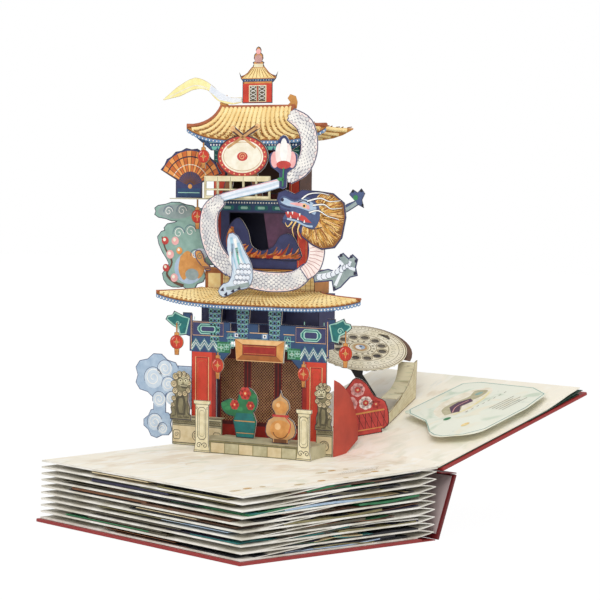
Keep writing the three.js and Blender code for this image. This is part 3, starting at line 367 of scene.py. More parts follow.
class Print:
    """Ink on one flat card, in millimetres across and up; each layer lies a hair above the last."""

    def __init__(self, name, body, place, depth, flat=False, slot=None, proud=1):
        self.name, self.body, self.place, self.depth, self.flat = name, body, place, depth, flat
        self.slot, self.proud = slot, proud
        self.points, self.faces, self.inks, self.layer = [], [], [], 1
        self.palette = []

    def spot(self, x, y):
        lift = INK * self.layer * self.proud
        local = (x, y, self.depth + lift) if self.flat else (x, self.depth - lift, y)
        return self.place @ (Vector(local) * MM)

    def face(self, points, name):
        material = name if isinstance(name, bpy.types.Material) else ink(name)
        if material not in self.palette:
            self.palette.append(material)
        start = len(self.points)
        self.points += [self.spot(x, y) for x, y in points]
        self.faces.append(list(range(start, start + len(points))))
        self.inks.append(self.palette.index(material))

    def fill(self, points, name):
        points = list(points)
        if area(points) * self.proud < 0:
            points.reverse()
        self.face(points, name)
        return self

    def line(self, points, width, name, closed=False, taper=0.0):
        points = [p for i, p in enumerate(points) if i == 0 or math.dist(p, points[i - 1]) > 1e-4]
        count = len(points)
        sides = []
        for i, (x, y) in enumerate(points):
            a = points[i - 1] if (i or closed) else points[i]
            b = points[(i + 1) % count] if (i < count - 1 or closed) else points[i]
            dx, dy = b[0] - a[0], b[1] - a[1]
            size = math.hypot(dx, dy) or 1
            half = width / 2 * (1 - taper * i / max(count - 1, 1))
            sides.append(((x - dy / size * half, y + dx / size * half),
                          (x + dy / size * half, y - dx / size * half)))
        for i in range(count if closed else count - 1):
            (a, b), (c, d) = sides[i], sides[(i + 1) % count]
            self.fill([b, d, c, a], name)
        return self

    def up(self, count=1):
        self.layer += count
        return self

    def card(self, node, border, field, margin, depth=None):
        """The whole front of a CAD card, in a dark outline with its field inset."""
        b = front_of(node, self.place, self.depth if depth is None else depth)
        for name, inset in ((border, 0), (field, margin)):
            if name is None:
                continue
            if inset:
                ring = bmesh.ops.inset_region(b, faces=b.faces[:], thickness=inset, use_even_offset=True,
                                              use_boundary=True)
                bmesh.ops.delete(b, geom=ring["faces"], context="FACES")
            for f in b.faces:
                self.fill([(v.co.x, v.co.z) for v in f.verts], name)
            self.up()
        b.free()
        return self

    def done(self):
        piece = plain_piece(self.name, self.points, self.faces, self.palette, self.inks)
        return settle(piece, self.body)


def plain_piece(name, points, faces, palette, inks=None):
    """A mesh object of these faces; inks says which of the palette each face takes."""
    mesh = bpy.data.meshes.new(name)
    mesh.from_pydata(points, [], faces)
    for material in palette:
        mesh.materials.append(material)
    if inks is not None:
        mesh.polygons.foreach_set("material_index", inks)
    mesh.update()
    return bpy.data.objects.new(name, mesh)


def settle(piece, body):
    """Links a finished piece and lets it ride on its body."""
    if piece.name not in bpy.context.scene.collection.all_objects:
        bpy.context.scene.collection.objects.link(piece)
    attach(piece, body)
    return piece


def front_of(node, place, depth):
    """The flat front of a CAD card as a mesh in millimetres, across x and up z."""
    b = bmesh.new()
    b.from_mesh(frame["nodes"][node].data)
    bmesh.ops.transform(b, matrix=Matrix.Scale(1000, 4) @ place.inverted(), verts=b.verts)
    bmesh.ops.remove_doubles(b, verts=b.verts, dist=0.002)
    keep = [f for f in b.faces if all(abs(v.co.y - depth) < 0.05 for v in f.verts)]
    kept = set(keep)
    bmesh.ops.delete(b, geom=[f for f in b.faces if f not in kept], context="FACES")
    return b


def palace_print(node, border=None, field=None, margin=0.9):
    """Starts the print on one palace card."""
    p = Print(node + "_print", LEFT, PALACE, FRONT[node], slot=SLOT_OF[node])
    if field:
        p.card(node, border, field, margin)
    return p


def finish(node, material):
    """Gives a CAD node its material."""
    mesh = frame["nodes"][node].data
    mesh.materials.clear()
    mesh.materials.append(material)


def card_stock(tint="EFE9DA"):
    """Bare card: the edges and the backs of the printed cards."""
    return printed("card_" + tint, linear(tint), strength=0.35, wash=45.0, gloss=0.62, bump=0.2)


# Geometry Nodes


def grower(name, inputs):
    """An empty Geometry Nodes tree with a geometry in and out and these named inputs."""
    tree = bpy.data.node_groups.new(name, "GeometryNodeTree")
    tree.interface.new_socket("Geometry", in_out="INPUT", socket_type="NodeSocketGeometry")
    tree.interface.new_socket("Geometry", in_out="OUTPUT", socket_type="NodeSocketGeometry")
    for title, kind, default in inputs:
        socket = tree.interface.new_socket(title, in_out="INPUT", socket_type=kind)
        if default is not None:
            socket.default_value = default
    make = tree.nodes.new
    return tree, make, tree.links.new, make("NodeGroupInput"), make("NodeGroupOutput")


def rib_tree():
    """Round ribs along the guide's lines."""
    found = bpy.data.node_groups.get("ribs_along_lines")
    if found:
        return found
    tree, make, link, given, result = grower("ribs_along_lines", (
        ("Radius", "NodeSocketFloat", 0.001), ("Sides", "NodeSocketInt", 6),
        ("Finish", "NodeSocketMaterial", None)))
    path, profile = make("GeometryNodeMeshToCurve"), make("GeometryNodeCurvePrimitiveCircle")
    sweep = make("GeometryNodeCurveToMesh")
    sweep.inputs["Fill Caps"].default_value = True
    solid, coat = make("GeometryNodeRealizeInstances"), make("GeometryNodeSetMaterial")
    link(given.outputs["Geometry"], path.inputs["Mesh"])
    link(given.outputs["Radius"], profile.inputs["Radius"])
    link(given.outputs["Sides"], profile.inputs["Resolution"])
    link(path.outputs["Curve"], sweep.inputs["Curve"])
    link(profile.outputs["Curve"], sweep.inputs["Profile Curve"])
    link(sweep.outputs["Mesh"], solid.inputs["Geometry"])
    link(solid.outputs["Geometry"], coat.inputs["Geometry"])
    link(given.outputs["Finish"], coat.inputs["Material"])
    link(coat.outputs["Geometry"], result.inputs["Geometry"])
    return tree


def scale_tree():
    """Rimmed discs on the guide's points: a dark rim below and a pale scale a hair above it."""
    found = bpy.data.node_groups.get("scales_on_points")
    if found:
        return found
    tree, make, link, given, result = grower("scales_on_points", (
        ("Radius", "NodeSocketFloat", 0.0016), ("Rim", "NodeSocketFloat", 0.0003),
        ("Lift", "NodeSocketFloat", 0.00002),
        ("Facing", "NodeSocketRotation", None), ("Scale finish", "NodeSocketMaterial", None),
        ("Rim finish", "NodeSocketMaterial", None)))
    whole = make("GeometryNodeJoinGeometry")
    for shown in (False, True):
        disc = make("GeometryNodeMeshCircle")
        disc.fill_type = "NGON"
        disc.inputs["Vertices"].default_value = 10
        size = make("ShaderNodeMath")
        size.operation = "SUBTRACT" if shown else "ADD"
        size.inputs[1].default_value = 0.0
        link(given.outputs["Radius"], size.inputs[0])
        if shown:
            link(given.outputs["Rim"], size.inputs[1])
        link(size.outputs["Value"], disc.inputs["Radius"])
        raise_up, offset = make("GeometryNodeTransform"), make("ShaderNodeCombineXYZ")
        if shown:
            link(given.outputs["Lift"], offset.inputs["Z"])
        link(offset.outputs["Vector"], raise_up.inputs["Translation"])
        link(disc.outputs["Mesh"], raise_up.inputs["Geometry"])
        spread, solid = make("GeometryNodeInstanceOnPoints"), make("GeometryNodeRealizeInstances")
        coat = make("GeometryNodeSetMaterial")
        link(given.outputs["Geometry"], spread.inputs["Points"])
        link(raise_up.outputs["Geometry"], spread.inputs["Instance"])
        link(given.outputs["Facing"], spread.inputs["Rotation"])
        link(spread.outputs["Instances"], solid.inputs["Geometry"])
        link(solid.outputs["Geometry"], coat.inputs["Geometry"])
        link(given.outputs["Scale finish" if shown else "Rim finish"], coat.inputs["Material"])
        link(coat.outputs["Geometry"], whole.inputs["Geometry"])
    link(whole.outputs["Geometry"], result.inputs["Geometry"])
    return tree


def grown(name, tree, points, edges=(), **values):
    """Runs a tree on a guide of points and lines and returns the plain mesh that it makes."""
    guide = bpy.data.meshes.new(name + "_guide")
    guide.from_pydata([tuple(p) for p in points], list(edges), [])
    piece = bpy.data.objects.new(name, guide)
    bpy.context.scene.collection.objects.link(piece)
    growth = piece.modifiers.new("growth", "NODES")
    growth.node_group = tree
    for item in tree.interface.items_tree:
        if item.item_type == "SOCKET" and item.in_out == "INPUT" and item.name in values:
            growth[item.identifier] = values[item.name]
    graph = bpy.context.evaluated_depsgraph_get()
    mesh = bpy.data.meshes.new_from_object(piece.evaluated_get(graph))
    piece.modifiers.remove(growth)
    piece.data = mesh
    bpy.data.meshes.remove(guide)
    return piece


def ribs(name, lines, radius, material, sides=6):
    """Round ribs of one material along these lines on the palace."""
    points, edges = [], []
    for line in lines:
        start = len(points)
        points += line
        edges += [(start + i, start + i + 1) for i in range(len(line) - 1)]
    piece = grown(name, rib_tree(), points, edges, Radius=radius * MM, Sides=sides, Finish=material)
    return settle(piece, LEFT)


def dots(name, places, radius, rim, colour, rim_colour):
    """Rimmed discs that face the palace's front, on these points."""
    turn = (PALACE.to_3x3() @ Matrix.Rotation(math.radians(90), 3, "X")).to_euler()
    piece = grown(name, scale_tree(), places, Radius=radius * MM, Rim=rim * MM, Facing=turn,
                  **{"Scale finish": colour, "Rim finish": rim_colour})
    return settle(piece, LEFT)


def at(s, w, h):
    """A palace point: across, back and up, in millimetres."""
    return PALACE @ (Vector((s, w, h)) * MM)


# Case


def rounded_copy(node, name, material, rounding):
    """A board whose edges are rounded, as cloth pulled over card is."""
    mesh = frame["nodes"][node].data.copy()
    mesh.name = name
    b = bmesh.new()
    b.from_mesh(mesh)
    bmesh.ops.remove_doubles(b, verts=b.verts, dist=1e-5)
    bmesh.ops.dissolve_limit(b, angle_limit=math.radians(2), verts=b.verts, edges=b.edges)
    sharp = [e for e in b.edges if len(e.link_faces) == 2 and e.calc_face_angle(0) > math.radians(40)]
    bmesh.ops.bevel(b, geom=sharp, offset=rounding, segments=2, affect="EDGES", profile=0.6,
                    clamp_overlap=True)
    b.to_mesh(mesh)
    b.free()
    mesh.materials.clear()
    mesh.materials.append(material)
    piece = bpy.data.objects.new(name, mesh)
    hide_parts(node)
    return piece


class POPUP_OT_case(bpy.types.Operator):
    """Covers the boards, the spine and the joint in red printed paper"""

    bl_idname = "popup.case"
    bl_label = "Case"

    def execute(self, context):
        s = context.scene.popup_case
        red = printed("case_red", tuple(s.cloth), tuple(c * 0.8 for c in s.cloth), 0.4, 18.0, 1300.0, 0.36,
                      0.1)
        dark = printed("case_dark", tuple(s.spine), tuple(c * 0.7 for c in s.spine), 0.5, 22.0, 1300.0, 0.38,
                       0.1)
        lining = printed("spine_lining", tuple(s.lining), None, 0.4, 26.0, 1600.0, 0.62)
        for node, body, material in (("front_cover", LEFT, red), ("spine_board", LEFT, dark),
                                     ("back_cover", RIGHT, red)):
            settle(rounded_copy(node, node + "_board", material, s.rounding), body)
        finish("back_joint_cloth", dark)
        finish("spine_lining", lining)
        finish("endpaper", printed("endpaper_green", linear("33503F"), linear("1E362B"), 0.8, 24.0, 1500.0,
                                   0.55))
        return {"FINISHED"}


# Pages


# Closed spreads in the pile, and in millimetres a leaf's thickness, the pile's foot, the slips' least
# gap to a leaf, half the sheets' length and a sheet's thickness
SPREADS, LEAF, PILE_FOOT, SLIP_GAP, SHEET_END, SHEET = 9, 1.6, 4.1, 0.35, 140.2, 0.25


def leaf_height(share, x):
    """The middle of a leaf at one place across the sloping pile."""
    top = GUTTER_HEIGHT - PAGE_RISE + PAGE_RISE * (x + GUTTER) / PAGE_WIDTH - LEAF / 2
    return PILE_FOOT + (top - PILE_FOOT) * share


def sheet_between(points, thickness, along):
    """A thin sheet from a line of (across, height) points, drawn out along y, in millimetres."""
    verts, faces = [], []
    for drop in (0, thickness):
        for y in along:
            verts += [Vector((x, y, z - drop)) for x, z in points]
    n = len(points)
    for i in range(n - 1):
        faces += [(i, i + 1, n + i + 1, n + i), (2 * n + i + 1, 2 * n + i, 3 * n + i, 3 * n + i + 1),
                  (i + 1, i, 2 * n + i, 2 * n + i + 1), (n + i, n + i + 1, 3 * n + i + 1, 3 * n + i)]
    faces += [(0, n, 3 * n, 2 * n), (2 * n - 1, n - 1, 3 * n - 1, 4 * n - 1)]
    return verts, faces


class POPUP_OT_pages(bpy.types.Operator):
    """Finishes the pile of spreads: its leaves, the folded slips in it (the near-black ones are painted shade
    in the gaps between leaves), and the two open pages
    """

    bl_idname = "popup.pages"
    bl_label = "Pages"

    def execute(self, context):
        s = context.scene.popup_pages
        chance = random.Random(s.seed)
        edge = printed("leaf_edges", linear("F1EEE6"), linear("C2BCAA"), 0.8, 40.0, 1500.0, 0.62, 0.25)
        finish("page_block", edge)
        # The near-black deep slips are painted shade in the gaps between the leaves; the other tones are the
        # printed folded pieces in the spreads
        slip_tones_with_gap_shade = ["deep", "ink", "deep", "teal", "brown", "deep", "green", "olive", "bark", "white", "deep",
                   "stone_ink", "cloud", "dust"]
        verts, faces, inks, palette = [], [], [], []
        for i in range(SPREADS):
            for k in range(s.slips):
                tone = slip_tones_with_gap_shade[chance.randrange(len(slip_tones_with_gap_shade))]
                start = 0.5 - GUTTER + (chance.uniform(0, 1) if k % 3 == 0 else chance.uniform(4, 150))
                end = min(start + chance.uniform(40, 130), 104)
                y0 = -SHEET_END + (chance.uniform(0, 0.8) if k % 3 else chance.uniform(0, 150))
                y1 = min(y0 + chance.uniform(60, 130), 139)
                share_a, share_b = chance.uniform(0.1, 0.9), chance.uniform(0.1, 0.9)
                line = []
                for j in range(9):
                    t = j / 8
                    x = start + (end - start) * t
                    low = leaf_height(i / SPREADS, x) + LEAF / 2 + SLIP_GAP
                    high = leaf_height((i + 1) / SPREADS, x) - LEAF / 2 - SLIP_GAP
                    share = share_a + (share_b - share_a) * t + 0.16 * math.sin(6.3 * t + k)
                    line.append((x, low + (high - low) * min(max(share, 0.05), 0.95)))
                v, f = sheet_between(line, chance.choice((0.3, 0.5, 1.0, 2.0)), (y0, y1))
                offset = len(verts)
                verts += [point * MM for point in v]
                faces += [tuple(n + offset for n in q) for q in f]
                material = ink(tone)
                if material not in palette:
                    palette.append(material)
                inks += [palette.index(material)] * len(f)
        settle(plain_piece("folded_slips_and_gap_shade", verts, faces, palette, inks), LEFT)

        paper, wash, mist = tuple(s.paper), tuple(s.wash), tuple(s.mist)
        left = gradient_wash("left_page_wash", paper, (
            (wash, 0.52, 0.3), (mist, 0.56, 0.35), (linear("B99A6C"), 0.66, 0.4),
            (linear("FDFAF0"), 0.5, 0.8)),
            (1.0, 2.2, 1.0), 11.0)
        p = Print("left_page_print", LEFT, PAGE, 0, flat=True, slot="page_paper")
        p.fill(rect(-127.2, -SHEET_END, 122.5, SHEET_END), left)
        p.up()
        for y, x0, x1 in ((-131, -60, 30), (-118, -120, -70), (-96, 10, 60), (-126, 40, 84)):
            p.line(bend([(x0, y), ((x0 + x1) / 2, y + 3), (x1, y - 2)]), 0.5, "paint")
            for k in range(3):
                p.fill(circle(x0 + (x1 - x0) * (k + 0.5) / 3, y + 4 + 2 * (k % 2), 7 - 2 * k, 14, 2.6),
                       "paint" if k % 2 else "dust")
        p.up()
        for row in range(4):
            x = 20 + 6 * row
            while x < 74 + 4 * row:
                mark = 1.2 + chance.uniform(0, 1.4)
                p.line([(x, -112 + 3.4 * row), (x + mark, -112 + 3.4 * row)], 0.6, "stone_dark")
                x += mark + 0.9
        p.done()

        right = gradient_wash("right_page_wash", paper, (
            (mist, 0.52, 0.3), (wash, 0.58, 0.28), (linear("C7D3D2"), 0.62, 0.35),
            (linear("FCF8EC"), 0.5, 0.7)), (1.0, 1.8, 1.0), 10.0)
        finish("right_page", right)
        leaf = gradient_wash("story_leaf_wash", linear("EEF0E0"), (
            (linear("BFD0B8"), 0.5, 0.7), (linear("EFE9D2"), 0.55, 0.8), (linear("6F8F8A"), 0.66, 0.6)),
            (1.0, 1.4, 1.0), 16.0)
        finish("story_leaf", leaf)
        p = Print("story_leaf_print", RIGHT, RIGHT_PAGE, 9.0, flat=True, slot="page_paper")
        edge_line = [(99, -22), (86, -54), (74, -67), (60, -81), (54, -92), (53, -104), (64, -121),
                     (84, -132), (150, -132),
                     (191, -124), (204, -100), (204, -30), (195, -14), (108, -14)]
        p.line(edge_line, 1.1, "sage", closed=True)
        p.fill(bend([(96, -64), (110, -44), (140, -34), (172, -36), (192, -52), (178, -66), (148, -74),
                     (120, -78), (96, -64)], 5), "cream").up()
        p.fill(bend([(104, -64), (116, -50), (136, -46), (160, -50), (178, -44), (184, -56), (166, -62),
                     (140, -60), (120, -70), (104, -64)], 5), "stone").up()
        p.fill([(112, -66), (126, -52), (142, -50), (156, -56), (150, -64), (132, -62), (118, -72)],
               "mauve").up()
        p.line(bend([(114, -66), (130, -58), (150, -58)], 5), 0.9, "pink")
        p.line(bend([(108, -72), (128, -74), (156, -70), (180, -62)], 6), 1.6, "yellow")
        p.fill(circle(96, -74, 5, 14, 3), "leaf")
        p.fill(circle(172, -54, 6, 14, 3), "sage")
        p.fill(circle(88, -104, 6, 14, 3), "tile")
        for x in range(118, 190, 9):
            p.line([(x, -80), (x + 5, -79)], 0.6, "stone_dark")
        for i in range(5):
            p.line([(136, -96 - 4.2 * i), (176 - 7 * (i % 2), -97 - 4.2 * i)], 0.7, "stone_dark")
        p.done()

        # A second endpaper lifts with the curled fore-edge of the right page; it is a darker green than the
        # endpaper and stands in as painted shade for the gap under the curl
        profile = []
        for across in [140 + 91.5 * i / 16 for i in range(17)]:
            t = min(max((across - 165) / 64, 0), 1)
            profile.append((across, 2.2 * t * t * (3 - 2 * t) - 0.85))
        verts, faces = sheet_between(profile, SHEET, (-141.9, 141.9))
        verts = [RIGHT_PAGE @ (point * MM) for point in verts]
        green = printed("lifted_green_painted_shade", linear("2C4A3C"), linear("1B3329"), 0.7, 24.0, 1500.0, 0.55)
        settle(plain_piece("lifted_endpaper_painted_shade", verts, faces, [green]), RIGHT)

        # The open sheet runs over the gutter and bends with the back board
        profile = []
        for x in [118 + i * 1.6 for i in range(14)]:
            off = x - GUTTER
            z = GUTTER_HEIGHT + off * math.tan(PAGE_SLOPE if off < 0 else OPENING)
            profile.append((x, z + 0.42 + 0.5 * math.exp(-((off / 2.2) ** 2))))
        verts, faces = sheet_between(profile, SHEET, (-SHEET_END, SHEET_END))
        piece = plain_piece("gutter_sheet", [point * MM for point in verts], faces, [left])
        context.scene.collection.objects.link(piece)
        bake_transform(piece)
        return {"FINISHED"}


# Terrace, stair and gate


def scroll_pair(p, x, y, r, tone, width=0.7):
    p.line(spiral(x - r, y, r, 1.3, 0.0, 18, 1), width, tone)
    p.line(spiral(x + r, y, r, 1.3, math.pi, 18, -1), width, tone)


def carved(node, left, right, low, top):
    """Stone mouldings and a round motif on one terrace front."""
    node.fill(rect(left + 0.6, top - 8.2, right - 0.6, top - 3.6), "stone_dark")
    node.fill(rect(left + 0.6, low + 1.6, right - 0.6, top - 10), "dust").up()
    for h, width in ((top - 1.2, 0.9), (top - 3.6, 0.7), (top - 8.2, 1.0), (top - 9.8, 0.6),
                     (low + 1.4, 0.9)):
        node.line([(left, h), (right, h)], width, "stone_ink")
    x = left + 1.5
    while x < right - 2:
        node.line(arc(x + 1.2, top - 6.6, 1.2, 0, 180, 6), 0.6, "stone_ink")
        x += 3.2
    middle, height = (left + right) / 2, (low + top - 10) / 2
    radius = min(5.0, (top - 11 - low) / 2)
    node.line(circle(middle, height, radius, 20), 0.8, "stone_ink", closed=True)
    node.line(spiral(middle, height, radius * 0.78, 1.8), 0.65, "stone_ink")
    for x in (left + 5, right - 5):
        if abs(x - middle) > radius + 4:
            node.line(octagon(x - 4, height - 4.6, x + 4, height + 4.6, 1.4), 0.7, "stone_ink", closed=True)
            node.line(spiral(x, height, 2.6, 1.4), 0.5, "stone_ink")


def lion(p, middle, foot, width, height, face):
    """Engraved curls, eyes, jaw, chest and paws of a seated stone guardian."""
    w = width / 2

    def spot(x, y):
        return middle + x * w * face, foot + y * height

    p.fill([spot(*q) for q in ((-0.3, 0.1), (0.46, 0.1), (0.52, 0.34), (0.3, 0.52), (-0.36, 0.48),
                               (-0.5, 0.26))], "stone_ink").up()
    p.fill([spot(*q) for q in ((-0.1, 0.14), (0.3, 0.14), (0.34, 0.34), (0.16, 0.46), (-0.16, 0.44),
                               (-0.24, 0.28))], "stone_dark").up()
    for x, y, r in ((-0.46, 0.9, 0.12), (-0.1, 0.95, 0.11), (0.3, 0.95, 0.11), (-0.62, 0.74, 0.12),
                    (0.64, 0.9, 0.1),
                    (-0.5, 0.6, 0.11), (-0.05, 0.54, 0.09), (0.42, 0.55, 0.1), (0.8, 0.78, 0.09),
                    (-0.62, 0.44, 0.09),
                    (0.72, 0.62, 0.09), (-0.72, 0.3, 0.08)):
        cx, cy = spot(x, y)
        p.fill(circle(cx, cy, r * height * 0.6, 12), "dust")
        p.up().line(circle(cx, cy, r * height * 0.6, 12), 0.55, "stone_ink", closed=True)
        p.line(spiral(cx, cy, r * height * 0.42, 1.2, 0, 10), 0.5, "stone_ink")
        p.layer -= 1
    p.up(2)
    p.fill([spot(*q) for q in ((-0.2, 0.72), (0.7, 0.72), (0.8, 0.84), (0.5, 0.9), (0.1, 0.9),
                               (-0.24, 0.84))], "stone").up()
    p.fill([spot(*q) for q in ((-0.06, 0.7), (0.2, 0.66), (0.5, 0.66), (0.7, 0.7), (0.6, 0.74),
                               (0.06, 0.74))], "stone_ink").up()
    p.line([spot(-0.02, 0.71), spot(0.64, 0.71)], 0.7, "ivory")
    for x in (0.0, 0.5):
        cx, cy = spot(x, 0.82)
        p.fill(circle(cx, cy, 1.7, 10), "ivory").up().fill(circle(cx, cy, 0.9, 8), "stone_ink")
        p.layer -= 1
        p.line(arc(cx, cy, 2.4, 20, 160, 6), 0.7, "stone_ink")
    cx, cy = spot(0.26, 0.765)
    p.fill(circle(cx, cy, 1.5, 10, 1.0), "stone_dark")
    for paw in (((-0.8, 0.3), (-0.5, 0.22), (-0.42, 0.1), (-0.84, 0.06)),
                ((0.34, 0.48), (0.24, 0.24), (0.3, 0.06), (0.84, 0.06)),
                ((0.62, 0.4), (0.64, 0.16), (0.86, 0.1)),
                ((-0.2, 0.46), (-0.3, 0.24), (-0.24, 0.05), (0.2, 0.05))):
        p.line([spot(*q) for q in paw], 0.75, "stone_ink")
    for x in (-0.12, 0.0, 0.44, 0.56):
        p.line([spot(x, 0.04), spot(x, 0.09)], 0.5, "stone_ink")


class POPUP_OT_terrace(bpy.types.Operator):
    """Prints the stone terrace, its stair, newels, guardians and side wall"""

    bl_idname = "popup.terrace"
    bl_label = "Terrace"

    def execute(self, context):
        margin = context.scene.popup_palace.margin * 1000
        stone = printed("stone_card", linear("C4BC9A"), linear("9A9270"), 0.8, 70.0, 900.0, 0.6, 0.3)
        for node in ("terrace", "stair"):
            finish(node, stone)
        for node in ("newel_left", "newel_right", "lion_left", "lion_right"):
            finish(node, card_stock())
        p = palace_print("terrace", "stone_ink", "stone", 0.5)
        carved(p, -121.6, -64.6, 1, 30)
        carved(p, 42.6, 59.6, 1, 30)
        p.done()
        p = palace_print("stair", "stone_ink", "olive", 0.4)
        blocks = 6
        block = 95 / blocks
        for i in range(blocks):
            left = -57 + i * block
            p.fill(rect(left + 0.5, 1.0, left + block - 0.4, 10.6), "stone" if i % 2 else "dust")
        p.up().line([(-73, 11.2), (52, 11.2)], 0.5, "stone_ink").done()
        for node, left, right, top in (("newel_left", -76, -57, 52), ("newel_right", 38, 55, 50)):
            p = palace_print(node, "stone_ink", "ivory", 0.5)
            middle = (left + right) / 2
            p.line([(left, top - 4), (right, top - 4)], 0.5, "stone_ink")
            p.line(octagon(middle - 4.6, 13, middle + 4.6, top - 7, 2.4), 0.7, "stone_ink", closed=True)
            p.line(octagon(middle - 2.8, 16, middle + 2.8, top - 10, 1.6), 0.4, "stone_dark", closed=True)
            scroll_pair(p, middle, 7, 3.2, "stone_ink")
            p.line([(left + 1, 2), (right - 1, 2)], 0.5, "stone_ink")
            for x in (left + 3.6, right - 3.6):
                p.line(spiral(x, top - 8, 1.5, 1.2, 0, 10), 0.4, "stone_ink")
            p.done()
        for node, middle, foot, width, height, face in (("lion_left", -111.5, 26, 25, 49, 1),
                                                        ("lion_right", 50.5, 26, 19, 46, -1)):
            p = palace_print(node, "ink", "stone_dark", 0.7)
            lion(p, middle, foot, width, height, face)
            p.done()
        finish("side_wall", printed("wall_red", linear("C4442E"), linear("A3301F"), 0.8, 40.0, 1500.0, 0.5))
        return {"FINISHED"}


def cartouche(p, left, low, right, top):
    """A painted beam panel: nested octagons in mint, teal and navy on navy, inside a gold line."""
    p.fill(rect(left, low, right, top), "navy")
    p.up().line(rect(left + 0.8, low + 0.8, right - 0.8, top - 0.8), 0.5, "gold_light", closed=True)
    cut = (top - low) * 0.26
    x0, x1 = left + (right - left) * 0.17, right - (right - left) * 0.17
    p.fill(octagon(x0, low + 2.2, x1, top - 2.2, cut), "mint")
    p.up().fill(octagon(x0 + 1.1, low + 3.2, x1 - 1.1, top - 3.2, cut * 0.8), "teal")
    p.up().fill(octagon(x0 + 3.4, low + 4.3, x1 - 3.4, top - 4.3, cut * 0.4), "mint")
    p.up().fill(octagon(x0 + 4.6, low + 5.2, x1 - 4.6, top - 5.2, cut * 0.3), "navy")
    p.layer -= 4


def chevrons(p, left, right, low, top, count):
    """White and teal zigzags that hang below a beam."""
    p.fill(rect(left, low, right, top), "blue").up()
    pitch = (right - left) / count
    for offset, tone, width in ((3.0, "teal_light", 0.6), (1.5, "white", 0.8), (0, "teal_light", 0.6),
                                (-1.5, "white", 0.8), (-3.0, "mint", 0.6)):
        p.line([(left + i * pitch / 2, (low + 4.2 if i % 2 == 0 else top - 4.2) + offset)
                for i in range(2 * count + 1)], width, tone)
    for i in range(count):
        x = left + (i + 0.5) * pitch
        p.fill([(x - 1.9, low), (x + 1.9, low), (x, low + 4.4)], "navy")
    p.layer -= 1


def knot(p, x, y, size, tone="teal_light"):
    """A square endless knot in one line colour."""
    step = size / 3
    for i in range(2):
        for j in range(2):
            cx, cy = x + (i - 0.5) * step * 1.3, y + (j - 0.5) * step * 1.3
            p.line(rect(cx - step * 0.55, cy - step * 0.55, cx + step * 0.55, cy + step * 0.55), 0.6, tone,
                   closed=True)
    p.line(rect(x - step * 0.4, y - step * 0.4, x + step * 0.4, y + step * 0.4), 0.5, "white", closed=True)


def bracket_stack(p, x, low, top, tiers):
    """Stepped bracket sets: three chains of dark sockets in light rims, with a pale line under each step."""
    rise = (top - low) / tiers

    def half(i):
        return 5.4 + 2.6 * i / tiers

    p.fill([(x - half(0), low), (x + half(0), low), (x + half(tiers), top), (x - half(tiers), top)],
           "navy").up()
    for i in range(tiers):
        h, w = low + i * rise, half(i)
        for k in (-0.66, 0, 0.66):
            p.fill(circle(x + k * w, h + rise * 0.55, w * 0.31, 10, rise * 0.43), "blue_light"
                   if (i + (k == 0)) % 2 else "teal_light")
        p.line([(x - w, h + rise * 0.12), (x - w * 0.5, h), (x + w * 0.5, h), (x + w, h + rise * 0.12)], 0.5,
               "mint")
    p.up()
    for i in range(tiers):
        h, w = low + i * rise, half(i)
        for k in (-0.66, 0, 0.66):
            p.fill(circle(x + k * w, h + rise * 0.5, w * 0.2, 8, rise * 0.28), "deep")
    p.layer -= 2


